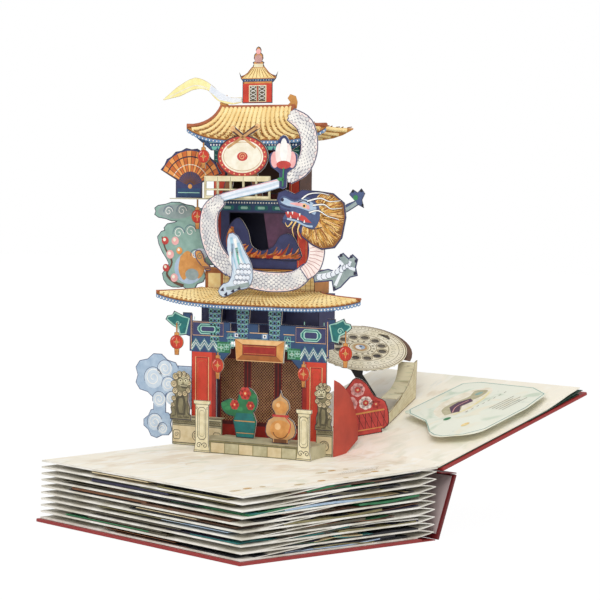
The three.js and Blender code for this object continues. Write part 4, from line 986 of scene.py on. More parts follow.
class POPUP_OT_gate(bpy.types.Operator):
    """Prints the gate: posts, painted beams, bracket stacks, plaque and lattice doors"""

    bl_idname = "popup.gate"
    bl_label = "Gate"

    def execute(self, context):
        s = context.scene.popup_palace
        red = printed("post_red", tuple(s.post), tuple(c * 0.75 for c in s.post), 0.7, 90.0)
        beam = printed("beam_blue", tuple(s.beam), tuple(c * 0.7 for c in s.beam), 0.7, 90.0)
        for node in ("gate_front", "name_board", "lattice_doors"):
            finish(node, card_stock())
        p = palace_print("gate_front", "ink", beam, s.margin * 1000)
        for l, r, top in ((-103.4, -75.6, 95.5), (22.6, 48.4, 91.5)):
            p.fill(rect(l, 0.9, r, top), red)
            inner = (r - 4.6, r) if l < 0 else (l, l + 4.6)
            p.up().fill(rect(inner[0], 0.9, inner[1], top), "red_dark")
            panel = (l + 4.4, r - 8.4) if l < 0 else (l + 8.4, r - 4.4)
            p.fill(rect(panel[0], 6, panel[1], top - 5), "red_dark")
            p.up().fill(rect(panel[0] + 1.2, 7.2, panel[1] - 1.2, top - 6.2), red)
            p.line(rect(panel[0], 6, panel[1], top - 5), 0.8, "gold_light", closed=True)
            p.line(octagon(panel[0] + 2.6, 10, panel[1] - 2.6, top - 9, 2.2), 0.35, "gold", closed=True)
            p.layer -= 2
        chevrons(p, -104, -74, 95.5, 110.5, 3)
        chevrons(p, 20, 48.4, 91.5, 107.5, 3)
        cartouche(p, -103.4, 111.6, -66.5, 126.6)
        cartouche(p, 14, 109.5, 48.4, 126)
        for x in (-104.5, 49.4):
            p.fill(rect(x - 1.8, 96, x + 1.8, 134), "navy")
            p.up().line([(x, 98), (x, 132)], 0.6, "gold_light")
            p.layer -= 1
        for side in (-1, 1):
            base = 49 if side > 0 else -104
            grow = 1 if side > 0 else 1.15
            outline = [(6, -13.6), (11.6, -14.6), (13.4, -8), (19, -5), (25.4, 0.4), (24, 3), (19.6, 3.8),
                       (17.2, 7.4), (9.6, 3.8), (2.5, 2)]
            shape = [(base + side * x * grow, 127 + y) for x, y in outline]
            p.fill(shape, "teal")
            p.up().line(shape, 1.5, "mint", closed=True)
            p.line(spiral(base + side * 14 * grow, 123.4, 3.4, 1.3, 0, 14, side), 0.9, "mint")
            p.layer -= 1
        for x in (-58.5, 5.5):
            for y in (112, 104.5):
                knot(p, x, y, 8.2)
        for x, y in ((-67, 101), (13, 98)):
            p.fill(rect(x - 7.4, y - 5, x + 7.4, y + 6), "green")
            p.up()
            knot(p, x - 2.5, y, 9, "mint")
            knot(p, x + 3.5, y + 1, 7, "mint")
            p.layer -= 1
        for x in (-77, -45, -9):
            bracket_stack(p, x, 107, 149, 9)
        for x in (-52, -20):
            p.fill(rect(x - 3.4, 111.6, x + 3.4, 117), "blue_light")
            p.up()
            p.fill(rect(x - 2, 112.6, x + 2, 116), "white").up()
            p.fill(rect(x - 0.9, 113.4, x + 0.9, 115.2), "ink")
            p.layer -= 2
        for h, tone in ((103.4, "teal_light"), (110.9, "mint"), (117.4, "gold_light")):
            for a, b in ((-63.5, -53), (-37, -17), (1, 13)):
                p.line([(a, h), (b, h)], 0.7, tone)
        for x in (-100.5, -77.5, 24, 45.5):
            p.line([(x, 128), (x, 131)], 0.8, "mint")
        p.done()

        p = palace_print("name_board", "brown", "gold", 0.6)
        outer = [(-50.6, 89.6), (1.6, 89.6), (3, 110.4), (-52, 110.4)]
        inner = [(-43.6, 95.4), (-5.4, 95.4), (-5.4, 105.6), (-43.6, 105.6)]
        for i, tone in enumerate(("gold_dark", "gold", "gold_light", "gold")):
            j = (i + 1) % len(outer)
            p.fill([outer[i], outer[j], inner[j], inner[i]], tone)
        p.up()
        for shape, width in ((outer, 0.7), (inner, 0.8)):
            p.line(shape, width, "gold_light" if width < 0.75 else "brown", closed=True)
        for i in range(4):
            p.line([outer[i], inner[i]], 0.4, "gold_dark")
        p.fill([(-43.4, 95.6), (-5.6, 95.6), (-5.6, 105.4), (-43.4, 105.4)], "red_dark")
        p.up().line(rect(-42, 96.8, -7, 104.2), 0.35, "gold", closed=True)
        p.done()

        p = palace_print("lattice_doors", "maroon", "maroon", 0.5)
        for l, r in ((-84, -57), (-49, -22), (-14, 9)):
            p.line(rect(l, 24, r, 88), 0.8, "red_dark", closed=True)
            p.fill(rect(l + 2, 5, r - 2, 20), "red_dark")
            span, rise, pitch = r - l, 64.0, 3.1
            for i in range(1, int((span + rise) / pitch)):
                d = i * pitch
                a = (l + min(d, span), 24 + max(0, d - span))
                b = (l + max(0, d - rise), 24 + min(d, rise))
                p.line([a, b], 0.42, "tan")
                p.line([(l + r - a[0], a[1]), (l + r - b[0], b[1])], 0.42, "tan")
        p.up()
        for x in (-53, -18):
            p.line([(x, 1), (x, 99)], 1.1, "red_dark")
            p.fill(circle(x, 46, 1.3, 10), "gold")
        p.done()
        return {"FINISHED"}


# Roofs


# The roofs' plans in millimetres: the eave's line, its height and the lift of its tips, the head's line
LOWER = {"front": 78, "back": 109.7, "left": -139, "right": 90, "eave": 146, "head": 158, "tip": 9,
         "curve": 1}
TOP = {"front": 94, "back": 125, "left": -113, "right": 43, "eave": 309, "head": 341, "tip": 12, "curve": 1.5}
COURSE_START, COURSE_SPAN = 0.015, 0.965


def roof_point(spec, head_left, head_right, u, t):
    """A point on a roof: u runs along the eave and t from the eave to the head."""
    flare = (1 - t) ** 2
    left = head_left + (spec["left"] - head_left) * flare
    right = head_right + (spec["right"] - head_right) * flare
    lift = spec["tip"] * (1 - t) * abs(2 * u - 1) ** 4
    rise = spec["eave"] + (spec["head"] - spec["eave"]) * (t ** spec["curve"])
    return Vector((left + (right - left) * u, spec["front"] + (spec["back"] - spec["front"]) * t,
                   rise + lift))


def tiled(name, spec, head_left, head_right, columns, rows, radius, joint=0.3, mirror=None):
    """Tile ribs up a roof slope, with a dark joint line over each course."""
    def point(u, t, up):
        p = roof_point(spec, head_left, head_right, u, t)
        if mirror is not None:
            p.y = 2 * mirror - p.y
        return at(p.x, p.y, p.z + up)

    lines = [[point((i + 0.5) / columns, 0.02 + 0.96 * j / 8, radius * 0.25) for j in range(9)]
             for i in range(columns)]
    ribs(name + "_ribs", lines, radius, bpy.data.materials["print_roof_tile"])
    courses = []
    for k in range(rows + 1):
        t = COURSE_START + COURSE_SPAN * k / rows
        courses.append([point(i / (2 * columns), t, radius * (1.28 if i % 2 else 0.5))
                        for i in range(2 * columns + 1)])
    ribs(name + "_courses", courses, joint, ink("tile_ink"), 4)
    dashes = []
    for k in range(rows):
        t = COURSE_START + COURSE_SPAN * (k + 0.5) / rows
        for i in range(columns):
            dashes.append([point((i + 0.5 + reach) / columns, t, radius * 1.22) for reach in (-0.2, 0.2)])
    ribs(name + "_dashes", dashes, joint * 1.2, ink("tile_ink"), 4)
    return point


def eave_band(name, point, drop, count):
    """A scalloped strip that hangs from an eave: white dots on blue, under a brown edge."""
    ahead = PALACE.to_3x3() @ Vector((0, -0.12 * MM, 0))
    verts, faces, inks = [], [], []
    for i in range(4 * count + 1):
        scallop = drop * (0.82 + 0.18 * abs(math.sin(math.pi * i / 4)))
        for level in (-0.2, -drop * 0.3, -scallop):
            verts.append(point(i / (4 * count), 0, level) + ahead)
    for i in range(4 * count):
        for k in (0, 1):
            faces.append((3 * i + k + 1, 3 * i + k + 4, 3 * i + k + 3, 3 * i + k))
            inks.append(k)
    settle(plain_piece(name, verts, faces, [ink("brown"), ink("blue_light")], inks), LEFT)
    places = [point((i + 0.5) / count, 0, -drop * 0.62) + 2 * ahead for i in range(count)]
    dots(name + "_dots", places, drop * 0.2, 0.2, ink("white"), ink("navy"))


class POPUP_OT_roofs(bpy.types.Operator):
    """Tiles both roofs and prints the box, the hood and the cupola"""

    bl_idname = "popup.roofs"
    bl_label = "Roofs"

    def execute(self, context):
        s = context.scene.popup_palace
        tile = printed("roof_tile", tuple(s.tile), linear("E6BF73"), 0.7, 70.0, 1500.0, 0.48)
        finish("lower_roof", printed("roof_bed", linear("C98F4A"), linear("A66F35"), 0.6, 60.0))
        finish("top_roof", bpy.data.materials["print_roof_bed"])
        low = tiled("lower_roof", LOWER, -104, 34, 42, 6, 1.9)
        top = tiled("top_roof", TOP, -90, -8, 17, 8, 2.5, joint=0.5)
        tiled("top_roof_back", TOP, -90, -8, 17, 8, 2.5, joint=0.5, mirror=TOP["back"])
        eave_band("lower_eave", low, 5.2, 63)
        eave_band("top_eave", top, 4.8, 38)
        ridge = [[at(-90 + i * 8.2, 125, 341.6) for i in range(11)]]
        hips = [[top(u, t / 8, 1.6) for t in range(9)] for u in (0.0, 1.0)]
        ribs("top_ridge", ridge + hips, 2.2, ink("terracotta"), 8)
        hips = [[low(u, t / 8, 1.2) for t in range(9)] for u in (0.0, 1.0)]
        ribs("lower_ridge", hips + [[low(i / 20, 0.985, 0.9) for i in range(21)]], 1.2, ink("terracotta"),
             8)

        finish("roof_box", printed("box_navy", linear("2E3160"), linear("23264C"), 0.7, 60.0))
        palace_print("roof_box", "ink", "navy", 0.8).done()
        finish("roof_hood", printed("hood_gold", linear("CE8B45"), linear("A9692E"), 0.7, 60.0))
        p = palace_print("roof_hood", "brown", "tile", 0.8)
        p.fill(rect(-100.4, 158.6, -97.4, 180), "gold_dark").fill(rect(-83, 158.6, -80, 180), "gold_dark")
        p.fill(rect(-100.4, 174.6, -80, 180), "gold_dark")
        for i in range(19):
            x = -78 + i * 5.4
            p.line([(x, 158.6), (x, 179.4)], 0.5, "tile_ink")
        for i in range(5):
            p.line([(-80, 161 + 4 * i), (23.4, 161 + 4 * i)], 0.35, "tile_ink")
        p.done()
        p = Print("hood_scroll_print", LEFT, PALACE, HOOD_SCROLL_FRONT, slot="gold_card")
        p.card("roof_hood", "navy", "gold", 0.9)
        p.line(spiral(-107, 191, 3.6, 1.3, 1.2, 16), 0.7, "teal")
        p.done()

        finish("cupola", card_stock())
        p = palace_print("cupola", "ink", "gold", 0.8)
        p.fill(rect(-65.2, 346.4, -32.8, 365), "red").up()
        p.fill(rect(-58.6, 346.8, -38.8, 363.4), "ivory").up()
        for x in (-57.4, -47.4):
            p.fill(rect(x, 347.4, x + 7.4, 362.6), "stone_ink").up()
            for i in range(4):
                p.line([(x + 0.4, 349 + 3.6 * i), (x + 7, 352 + 3.6 * i)], 0.5, "white")
                p.line([(x + 7, 349 + 3.6 * i), (x + 0.4, 352 + 3.6 * i)], 0.5, "white")
            p.layer -= 1
        p.fill(rect(-49.4, 347.4, -47.8, 362.6), "red_dark")
        p.fill([(-64.6, 366.9), (-31.4, 366.9), (-28.6, 369.6), (-67.4, 369.6)], "blue")
        for i in range(11):
            p.fill(circle(-63 + 3 * i, 368.2, 0.7, 8), "white")
        p.fill([(-66, 370.4), (-30, 370.4), (-37, 376), (-41, 380.4), (-55, 380.4), (-59, 376)], "tile")
        p.up()
        for i in range(8):
            t = i / 7
            p.line([(-63.5 + 31 * t, 370.8), (-54 + 12 * t, 380)], 0.55, "tile_ink")
        p.line([(-67, 371), (-60, 375.4), (-55, 381)], 1.0, "gold_dark")
        p.line([(-29, 371), (-36, 375.4), (-41, 381)], 1.0, "gold_dark")
        p.fill(rect(-53.2, 381, -42.8, 384.4), "ivory")
        p.fill(circle(-48, 389, 4.4, 14), "belly_ink").up().fill(circle(-48, 396.4, 2.8, 12), "pink")
        p.line([(-50.4, 385.6), (-45.6, 385.6)], 0.6, "brown")
        p.done()
        return {"FINISHED"}


# Upper storeys


class POPUP_OT_storeys(bpy.types.Operator):
    """Prints the stage, the deck with its rail, and the hall under the top roof"""

    bl_idname = "popup.storeys"
    bl_label = "Storeys"

    def execute(self, context):
        s = context.scene.popup_palace
        dark = printed("room_dark", linear("22223A"), linear("171728"), 0.6, 60.0)
        finish("stage_box", dark)
        finish("hall_box", printed("hall_brown", linear("5C3A2C"), linear("432820"), 0.6, 60.0))
        finish("stage_curtain", ink("mauve"))
        finish("deck", ink("stone"))
        finish("balcony_rail", printed("rail_ivory", linear("E4DFAE"), linear("C3BC85"), 0.6, 90.0))
        finish("eave_brackets", card_stock())
        finish("stage_jars", card_stock())

        p = palace_print("stage_box", "ink", "navy", 0.8)
        p.fill(rect(-91.4, 238, 15.4, 248.6), "blue").up()
        for i in range(5):
            x = -84 + i * 19.4
            p.fill(octagon(x, 238.8, x + 15, 243.4, 1.2), "teal").up()
            p.fill(octagon(x + 3.4, 239.8, x + 11.6, 242.4, 0.9), "mint")
            p.layer -= 1
        for i in range(34):
            p.fill(circle(-88 + i * 3.1, 246.2, 0.85, 8), "white")
        p.fill(rect(3, 182, 14.6, 237), "red").fill(rect(-91, 182, -84, 237), "red_dark").up()
        p.line([(4.6, 183), (4.6, 236)], 0.5, "gold").line([(13, 183), (13, 236)], 0.5, "gold")
        p.done()
        p = palace_print("stage_curtain", None, "mauve", 0.0)
        for i in range(7):
            p.line(bend([(-31 + 5 * i, 237), (-29 + 5 * i, 214), (-25 + 4.4 * i, 191)]), 0.7, "maroon")
        p.done()
        p = palace_print("stage_jars", "ink", "navy", 0.8)
        spine = bend([(-70, 222), (-75, 210), (-66, 199), (-50, 193.4), (-32, 192.6), (-14, 192.6), (0, 193)],
                     6)
        flames = ("fin", "gold_dark", "fin_light", "fin", "red_dark")
        for i in range(44):
            (x, y), turn = along(spine, i / 43)
            lean = turn + math.radians(34 + 26 * math.sin(2.3 * i))
            length = min(10 + 6 * math.sin(1.7 * i) ** 2, reach_of("stage_jars", (x, y), lean) - 1.2)
            tip = (x + length * math.cos(lean), y + length * math.sin(lean))
            middle = ((x + tip[0]) / 2 + math.sin(turn) * 1.2, (y + tip[1]) / 2 - math.cos(turn) * 1.2)
            p.layer = 3 + i % 3
            p.line(bend([(x, y), middle, tip], 4), 3.8, flames[i % len(flames)], taper=0.85)
        p.done()

        p = palace_print("balcony_rail", "olive", "ivory", 0.35)
        for i in range(6):
            x = -89.8 + i * 14.5
            p.line([(x, 251), (x, 272)], 0.5, "olive")
        p.done()

        p = palace_print("hall_box", "ink", "maroon", 0.8)
        for l, r in ((-91, -78.6), (-5.4, 5.4)):
            p.fill(rect(l, 251, r, 303), "red").up()
            p.fill(rect(l, 286, r, 303), "teal").up()
            for h in (289, 293.6, 298.2):
                p.line([(l + 0.6, h), (r - 0.6, h)], 0.8, "mint")
            p.line([(l + 2.2, 252), (l + 2.2, 285)], 0.5, "gold_light")
            p.layer -= 2
        p.fill(rect(-91, 303, 5.4, 319), "blue").up()
        for i in range(4):
            cartouche(p, -88 + i * 23.4, 303.6, -67 + i * 23.4, 313)
        p.done()
        p = palace_print("eave_brackets", "ink", "blue", 0.7)
        for i in range(30):
            p.fill(circle(-86 + i * 3.3, 303.6, 0.9, 8), "white")
        for i in range(13):
            x = -84 + i * 7
            p.fill([(x, 298.6), (x + 4, 298.6), (x + 5.6, 302), (x - 1.6, 302)], "teal_light")
        p.line([(-88, 306), (12, 306)], 0.8, "mint")
        p.done()
        finish("drum", card_stock())
        return {"FINISHED"}


# Lanterns and clouds


# Each lantern: its card, middle across, top, width and height, in millimetres
LANTERNS = (
    ("lantern_gate_left", -121, 114, 16, 23), ("lantern_gate_right", 69.5, 112, 15, 24),
    ("lantern_post_left", -73, 93, 14, 24), ("lantern_post_right", 24, 89, 13, 23),
    ("lantern_deck", -106, 241, 14, 22), ("lantern_eave", -94, 301, 14, 21),
)


class POPUP_OT_lanterns(bpy.types.Operator):
    """Prints the round red lanterns with their caps, ribs and tassels"""

    bl_idname = "popup.lanterns"
    bl_label = "Lanterns"

    def execute(self, context):
        for node, x, top, width, height in LANTERNS:
            finish(node, card_stock())
            p = palace_print(node, "maroon", "gold", 0.35)
            r, body_top, body_low = width / 2, top - height * 0.1, top - height * 0.74
            middle, ry = (body_top + body_low) / 2, (body_top - body_low) / 2
            p.fill(circle(x, middle, r - 0.7, 24, ry - 0.3), "red").up()
            for k in (0.34, -0.34, 0.68, -0.68):
                p.line(arc(x, middle, (r - 0.7) * k, -90, 90, 12, ry - 0.3), 0.35, "red_dark")
            p.up()
            p.fill(circle(x, middle, 1.9, 12), "gold")
            p.line([(x, middle + 4.4), (x, middle - 4.4)], 0.5, "gold_light")
            p.line([(x - 3.4, middle), (x + 3.4, middle)], 0.5, "gold_light")
            p.line(arc(x - 0.4, middle, r * 0.66, 110, 160, 6, ry * 0.72), 0.7, "pink")
            for i in range(3):
                p.line([(x - 1.4 + 1.4 * i, body_low - 1), (x - 1.4 + 1.4 * i, top - height + 0.4)], 0.3,
                       "gold_dark")
            p.done()
        return {"FINISHED"}


class POPUP_OT_clouds(bpy.types.Operator):
    """Prints the clouds, the branch and the streamer"""

    bl_idname = "popup.clouds"
    bl_label = "Clouds"

    def execute(self, context):
        for node in ("cloud_low", "cloud_high", "streamer"):
            finish(node, card_stock("E9E9E6"))
        p = palace_print("cloud_low", "cloud_ink", "cloud", 0.7)
        for x, y, r, way in ((-150, 66, 11, 1), (-136, 76, 9, -1), (-132, 60, 8, 1), (-148, 20, 9, 1),
                             (-139, 14, 6, -1), (-112, 62, 9, 1),
                             (-143, 44, 8, -1), (-128, 46, 7, 1)):
            p.fill(circle(x, y, r, 20), "cloud_light").up()
            p.line(spiral(x, y, r * 0.86, 1.7, 0.6, 26, way), 0.8, "white")
            p.line(arc(x, y, r, 20, 200, 14), 0.55, "cloud_ink")
            p.layer -= 1
        p.done()
        p = palace_print("cloud_high", "ink", "sage", 0.8)
        p.fill(circle(-140, 236, 21, 26, 7.4), "grey").fill(circle(-128, 214, 17, 24, 10.5), "sage")
        p.fill(circle(-124, 178, 17, 24, 16), "cloud").up()
        p.fill(bend([(-134, 190), (-126, 196), (-118, 192), (-110, 186), (-106, 176), (-112, 168),
                     (-122, 172), (-130, 166), (-136, 176), (-134, 190)], 4), "gold").up()
        p.fill(circle(-120, 172, 8, 18, 6), "grey").fill(circle(-110, 193, 8, 18, 6), "cloud_light").up()
        for x, y, r in ((-148, 236, 5), (-132, 237, 5.5), (-122, 216, 6), (-136, 214, 6), (-116, 192, 5)):
            p.line(spiral(x, y, r, 1.3, 0, 16), 0.7, "white")
            p.line(arc(x, y, r + 0.8, 10, 190, 10), 0.5, "cloud_ink")
        branch = bend([(-130, 160), (-142, 164), (-150, 172), (-144, 184), (-152, 198), (-156, 210)], 5)
        p.line(branch, 3.2, "bark", taper=0.6).up()
        for x, y, r, tone in ((-141, 168, 4.4, "pink"), (-151, 178, 4.0, "rose"), (-146, 192, 4.6, "pink"),
                              (-152, 206, 4.2, "rose"), (-140, 206, 4.4, "pink"),
                              (-135, 196, 3.6, "fin_light")):
            p.fill(circle(x, y, r, 14), tone).up().fill(circle(x - 0.8, y + 1, r * 0.42, 10), "cream")
            p.layer -= 1
        p.done()
        p = palace_print("streamer", "dust", "yellow", 0.4)
        p.line(bend([(-150, 353), (-136, 359), (-120, 364), (-106, 361)], 5), 1.2, "cream")
        p.fill([(-104, 358), (-92, 349), (-76, 346), (-66.6, 347), (-66.6, 350.6), (-78, 351), (-90, 356),
                (-102, 364.6)], "snow")
        p.done()
        return {"FINISHED"}


# Dragon

# The outlines of the cards that reach_of has read
OUTLINES = {}


def along(points, t):
    """A point and its direction on a line of points, at a share of its count."""
    place = t * (len(points) - 1)
    i = min(int(place), len(points) - 2)
    f = place - i
    a, b = points[i], points[i + 1]
    return (a[0] + (b[0] - a[0]) * f, a[1] + (b[1] - a[1]) * f), math.atan2(b[1] - a[1], b[0] - a[0])


def reach_of(node, centre, turn):
    """How far a card's outline lies from a point on it, in one direction."""
    if node not in OUTLINES:
        b = front_of(node, PALACE, FRONT[node])
        edges = [e for e in b.edges if len(e.link_faces) == 1]
        OUTLINES[node] = [tuple((v.co.x, v.co.z) for v in e.verts) for e in edges]
        b.free()
    across, rise = math.cos(turn), math.sin(turn)
    best = 0.0
    for (ax, ay), (bx, by) in OUTLINES[node]:
        ex, ey, dx, dy = bx - ax, by - ay, ax - centre[0], ay - centre[1]
        cross = across * ey - rise * ex
        if abs(cross) > 1e-9:
            far, share = (dx * ey - dy * ex) / cross, (dx * rise - dy * across) / cross
            if far > 0 and 0 <= share <= 1 and (best == 0.0 or far < best):
                best = far
    return best


# Distances between scales, as shares of a scale's radius, and the bare edge beside them in millimetres
ROW_PITCH, SCALE_PITCH, BARE_EDGE = 1.15, 1.9, 1.6


def scaled(node, centre, widths, radius, material):
    """Rows of scales across a band of the dragon, each row over the last."""
    path = bend(centre, 10)
    length = sum(math.dist(a, b) for a, b in zip(path, path[1:]))
    rows = int(length / (radius * ROW_PITCH))
    places = []
    for i in range(rows):
        t = (i + 0.5) / rows
        (x, y), turn = along(path, t)
        slot_at = t * (len(widths) - 1)
        k = min(int(slot_at), len(widths) - 2)
        width = widths[k] + (widths[k + 1] - widths[k]) * (slot_at - k) - 2 * BARE_EDGE - radius
        count = max(int(width / (radius * SCALE_PITCH)), 1)
        shift = 0.5 if i % 2 else 0.0
        for j in range(count + (1 if shift else 0)):
            off = (j - (count - 1) / 2 - shift) * radius * SCALE_PITCH
            if abs(off) > width / 2:
                continue
            places.append(at(x - math.sin(turn) * off, FRONT[node] - 0.16 - 0.35 * t,
                             y + math.cos(turn) * off))
    dots(node + "_scales", places, radius, 0.36, material, ink("scale_ink"))


class POPUP_OT_dragon(bpy.types.Operator):
    """Prints the dragon: scales, belly bands, claws and a maned head"""

    bl_idname = "popup.dragon"
    bl_label = "Dragon"

    def execute(self, context):
        s = context.scene.popup_dragon
        scale = printed("dragon_scale", tuple(s.scale), linear("B9B9BE"), 0.85, 75.0, 1500.0, 0.45)
        size = s.size * 1000
        for node in ("dragon_upper", "dragon_sweep", "dragon_left", "dragon_belly", "dragon_neck",
                     "dragon_head",
                     "dragon_claw_high", "dragon_claw_right", "dragon_foreleg"):
            finish(node, card_stock("DFDDD8"))
        bodies = (
            ("dragon_upper", [(6, 333), (22, 322), (27, 300), (20, 282), (4, 270)], [14, 19, 19, 18, 12]),
            ("dragon_left", [(-70, 250), (-82, 238), (-84, 218), (-76, 196), (-58, 180)],
             [14, 20, 21, 20, 18]),
            ("dragon_belly", [(-60, 183), (-40, 173), (-12, 169), (14, 172), (28, 182)],
             [18, 19, 20, 19, 16]),
        )
        for node, centre, widths in bodies:
            palace_print(node, "navy", "belly", 0.9).done()
            scaled(node, centre, widths, size, scale)
        p = palace_print("dragon_sweep", "cloud_ink", "snow", 0.5)
        p.line(bend([(0, 268), (-22, 262), (-50, 256), (-82, 247)], 6), 3.0, "cloud_light", taper=0.6)
        p.up().line(bend([(0, 271), (-22, 266), (-50, 260), (-72, 254)], 6), 0.8, "pink", taper=0.5)
        p.line(bend([(0, 264), (-22, 258), (-50, 252), (-80, 246)], 6), 0.6, "water")
        p.done()
        p = palace_print("dragon_neck", "navy", "belly", 0.9)
        path = bend([(24, 178), (34, 186), (38, 200), (36, 216)], 8)
        for i in range(1, 12):
            (x, y), turn = along(path, i / 12)
            nx, ny = -math.sin(turn), math.cos(turn)
            p.line([(x - nx * 7, y - ny * 7), (x + math.cos(turn) * 0.8, y + math.sin(turn) * 0.8),
                    (x + nx * 7, y + ny * 7)], 0.6, "belly_ink")
        p.done()

        p = palace_print("dragon_foreleg", "cloud_ink", "cloud_light", 0.7)
        for start, middle, end, tone in (
            ((-57, 212), (-55, 196), (-50, 178), "water"), ((-53, 211), (-50, 198), (-43, 184), "white"),
            ((-55, 206), (-56, 190), (-54, 176), "cloud"), ((-49, 207), (-45, 194), (-38, 182), "water"),
            ((-51, 202), (-49, 190), (-46, 180), "teal_light"), ((-57, 198), (-58, 190), (-55, 182), "white"),
        ):
            p.line(bend([start, middle, end], 8), 3.4, tone, taper=0.8)
        p.up()
        rows = [(-40, 184, 3), (-41, 178.4, 4), (-42.4, 172.8, 4), (-44, 167.6, 4)]
        for x, y, count in rows:
            for k in range(count):
                p.fill(circle(x - 4.6 * (count - 1) / 2 + 4.2 * k - 1, y, 2.7, 12), "scale_ink")
            p.up()
            for k in range(count):
                p.fill(circle(x - 4.6 * (count - 1) / 2 + 4.2 * k - 1, y - 0.2, 2.2, 12), "snow")
        p.up().line(bend([(-36, 166), (-46, 164), (-54, 162), (-62, 161)], 5), 4.4, "grey", taper=0.3)
        for x, y in ((-68, 160), (-64, 155.4), (-56, 159), (-49, 162)):
            p.fill([(x - 1.2, y - 1.2), (x + 2.6, y + 2.4), (x + 3.2, y - 1.8)], "ink")
        p.done()
        p = palace_print("dragon_claw_high", "ink", "cloud_ink", 0.6)
        p.line([(64, 239), (72, 243), (80, 248)], 3.4, "grey").up()
        p.fill(circle(79, 253, 2.6, 10), "leaf").up()
        p.fill(circle(76, 259, 1.3, 8), "deep")
        p.fill(circle(85, 259.6, 1.4, 8), "deep")
        p.fill(circle(86.5, 246, 1.3, 8), "deep")
        p.done()
        p = palace_print("dragon_claw_right", "navy", "grey", 1.2)
        p.line(bend([(38, 175), (52, 178), (64, 184), (72, 188)], 5), 6.4, "snow", taper=0.5).up()
        p.line(bend([(58, 168), (62, 176), (66, 184)], 5), 3.4, "snow", taper=0.3)
        p.line(bend([(62, 192), (66, 188)], 3), 3.0, "snow")
        p.line(bend([(74, 192), (72, 187)], 3), 3.0, "snow")
        p.line([(79, 184), (72, 186)], 3.0, "snow").up()
        for i in range(9):
            (x, y), turn = along([(40, 175), (54, 178), (66, 184), (74, 189)], i / 8)
            p.line(arc(x, y, 2.6, 120, 300, 8), 0.6, "scale_ink")
        for x, y in ((64, 197), (75, 196), (80, 192), (79, 180), (57, 165)):
            p.fill([(x - 1.4, y - 1.4), (x + 1.6, y - 0.6), (x + 0.8, y + 2.2), (x - 1.6, y + 1.4)], "ink")
        p.done()

        p = palace_print("dragon_head", "ink", "navy", 0.7)
        eye = (33, 236)
        mane_from, mane_to = math.radians(66), math.radians(-122)
        rim = []
        for i in range(40):
            turn = mane_from + (mane_to - mane_from) * i / 39
            far = reach_of("dragon_head", eye, turn) - 1.5
            rim.append(polar(*eye, far, turn))
        for a, b in zip(rim, rim[1:]):
            p.fill([eye, a, b], "mane_dark")
        chance = random.Random(5)
        strands = ("mane", "mane_light", "gold_dark", "mane", "gold_light", "mane_light", "mane")
        for i in range(210):
            turn = mane_from + (mane_to - mane_from) * i / 209
            far = reach_of("dragon_head", eye, turn) - 1.6
            near_end = chance.uniform(0.25, 0.6)
            far *= chance.uniform(0.82, 1.0)
            across, rise = math.cos(turn), math.sin(turn)
            start, end = polar(*eye, far * near_end, turn), polar(*eye, far, turn)
            sway = chance.uniform(-2.2, 2.2)
            middle = ((start[0] + end[0]) / 2 - rise * sway, (start[1] + end[1]) / 2 + across * sway)
            p.layer = 3 + i % 4
            p.line(bend([start, middle, end], 5), 1.9, strands[i % len(strands)], taper=0.8)
        p.layer = 7
        p.fill(bend([(40, 246), (28, 253), (14, 250), (2, 254), (-3, 249), (0, 242), (10, 240), (4, 236),
                     (2, 231), (14, 232),
                     (24, 226), (34, 222), (40, 228), (42, 238), (40, 246)], 4), "cloud_ink")
        p.up()
        p.fill(bend([(36, 246), (26, 251), (14, 248), (3, 252), (-1, 248), (6, 244.6), (16, 243), (28, 240),
                     (36, 236), (38, 242), (36, 246)], 4), "cloud")
        p.up()
        p.fill(bend([(30, 245), (20, 247.4), (9, 247), (14, 245), (22, 243.6), (30, 241), (30, 245)], 4),
               "pink")
        p.line(bend([(6, 231.6), (16, 229.6), (26, 225.4), (34, 224.6)], 5), 1.8, "cloud")
        p.fill([(4, 238), (14, 238.6), (26, 234), (33, 228), (26, 228.6), (16, 232), (6, 233)], "rose").up()
        for x, y in ((7, 238), (12, 238), (20, 236.4)):
            p.fill([(x - 1, y + 0.8), (x + 1, y + 0.6), (x, y - 2.6)], "white")
        for x, y in ((10, 232.8), (18, 231.2), (25, 228.8)):
            p.fill([(x - 1, y - 0.6), (x + 1, y - 0.8), (x, y + 2.4)], "white")
        p.fill(circle(25, 244.5, 2.4, 12), "gold_light").up().fill(circle(24.6, 244.4, 1.2, 10), "deep")
        p.line(bend([(18, 247.6), (24, 249.4), (31, 247)], 5), 1.0, "ink")
        p.fill(circle(0.6, 250, 1.8, 10), "ink")
        p.line(bend([(-2, 246), (4, 243.6), (10, 242.6)], 4), 0.7, "ink")
        p.line(bend([(44, 224), (34, 222), (24, 225), (14, 229)], 5), 0.7, "ink")
        horns = ([(28, 249), (42, 252), (52, 249), (64, 250)], [(34, 245), (46, 246), (54, 242), (66, 243)],
                 [(30, 238), (40, 240), (50, 235), (62, 232)], [(22, 251), (30, 256), (42, 257), (52, 255)])
        for width, tone in ((2.3, "ink"), (1.5, "white")):
            for points in horns:
                p.line(bend(points, 6), width, tone, taper=0.7)
            p.up()
        p.layer -= 1
        for points in ([(16, 229), (12, 222), (14, 214)], [(12, 229), (7, 224), (4, 228)],
                       [(20, 227), (18, 219), (22, 212)]):
            p.line(bend(points, 5), 1.8, "mane_light", taper=0.8)
        p.done()
        return {"FINISHED"}


# Ornaments


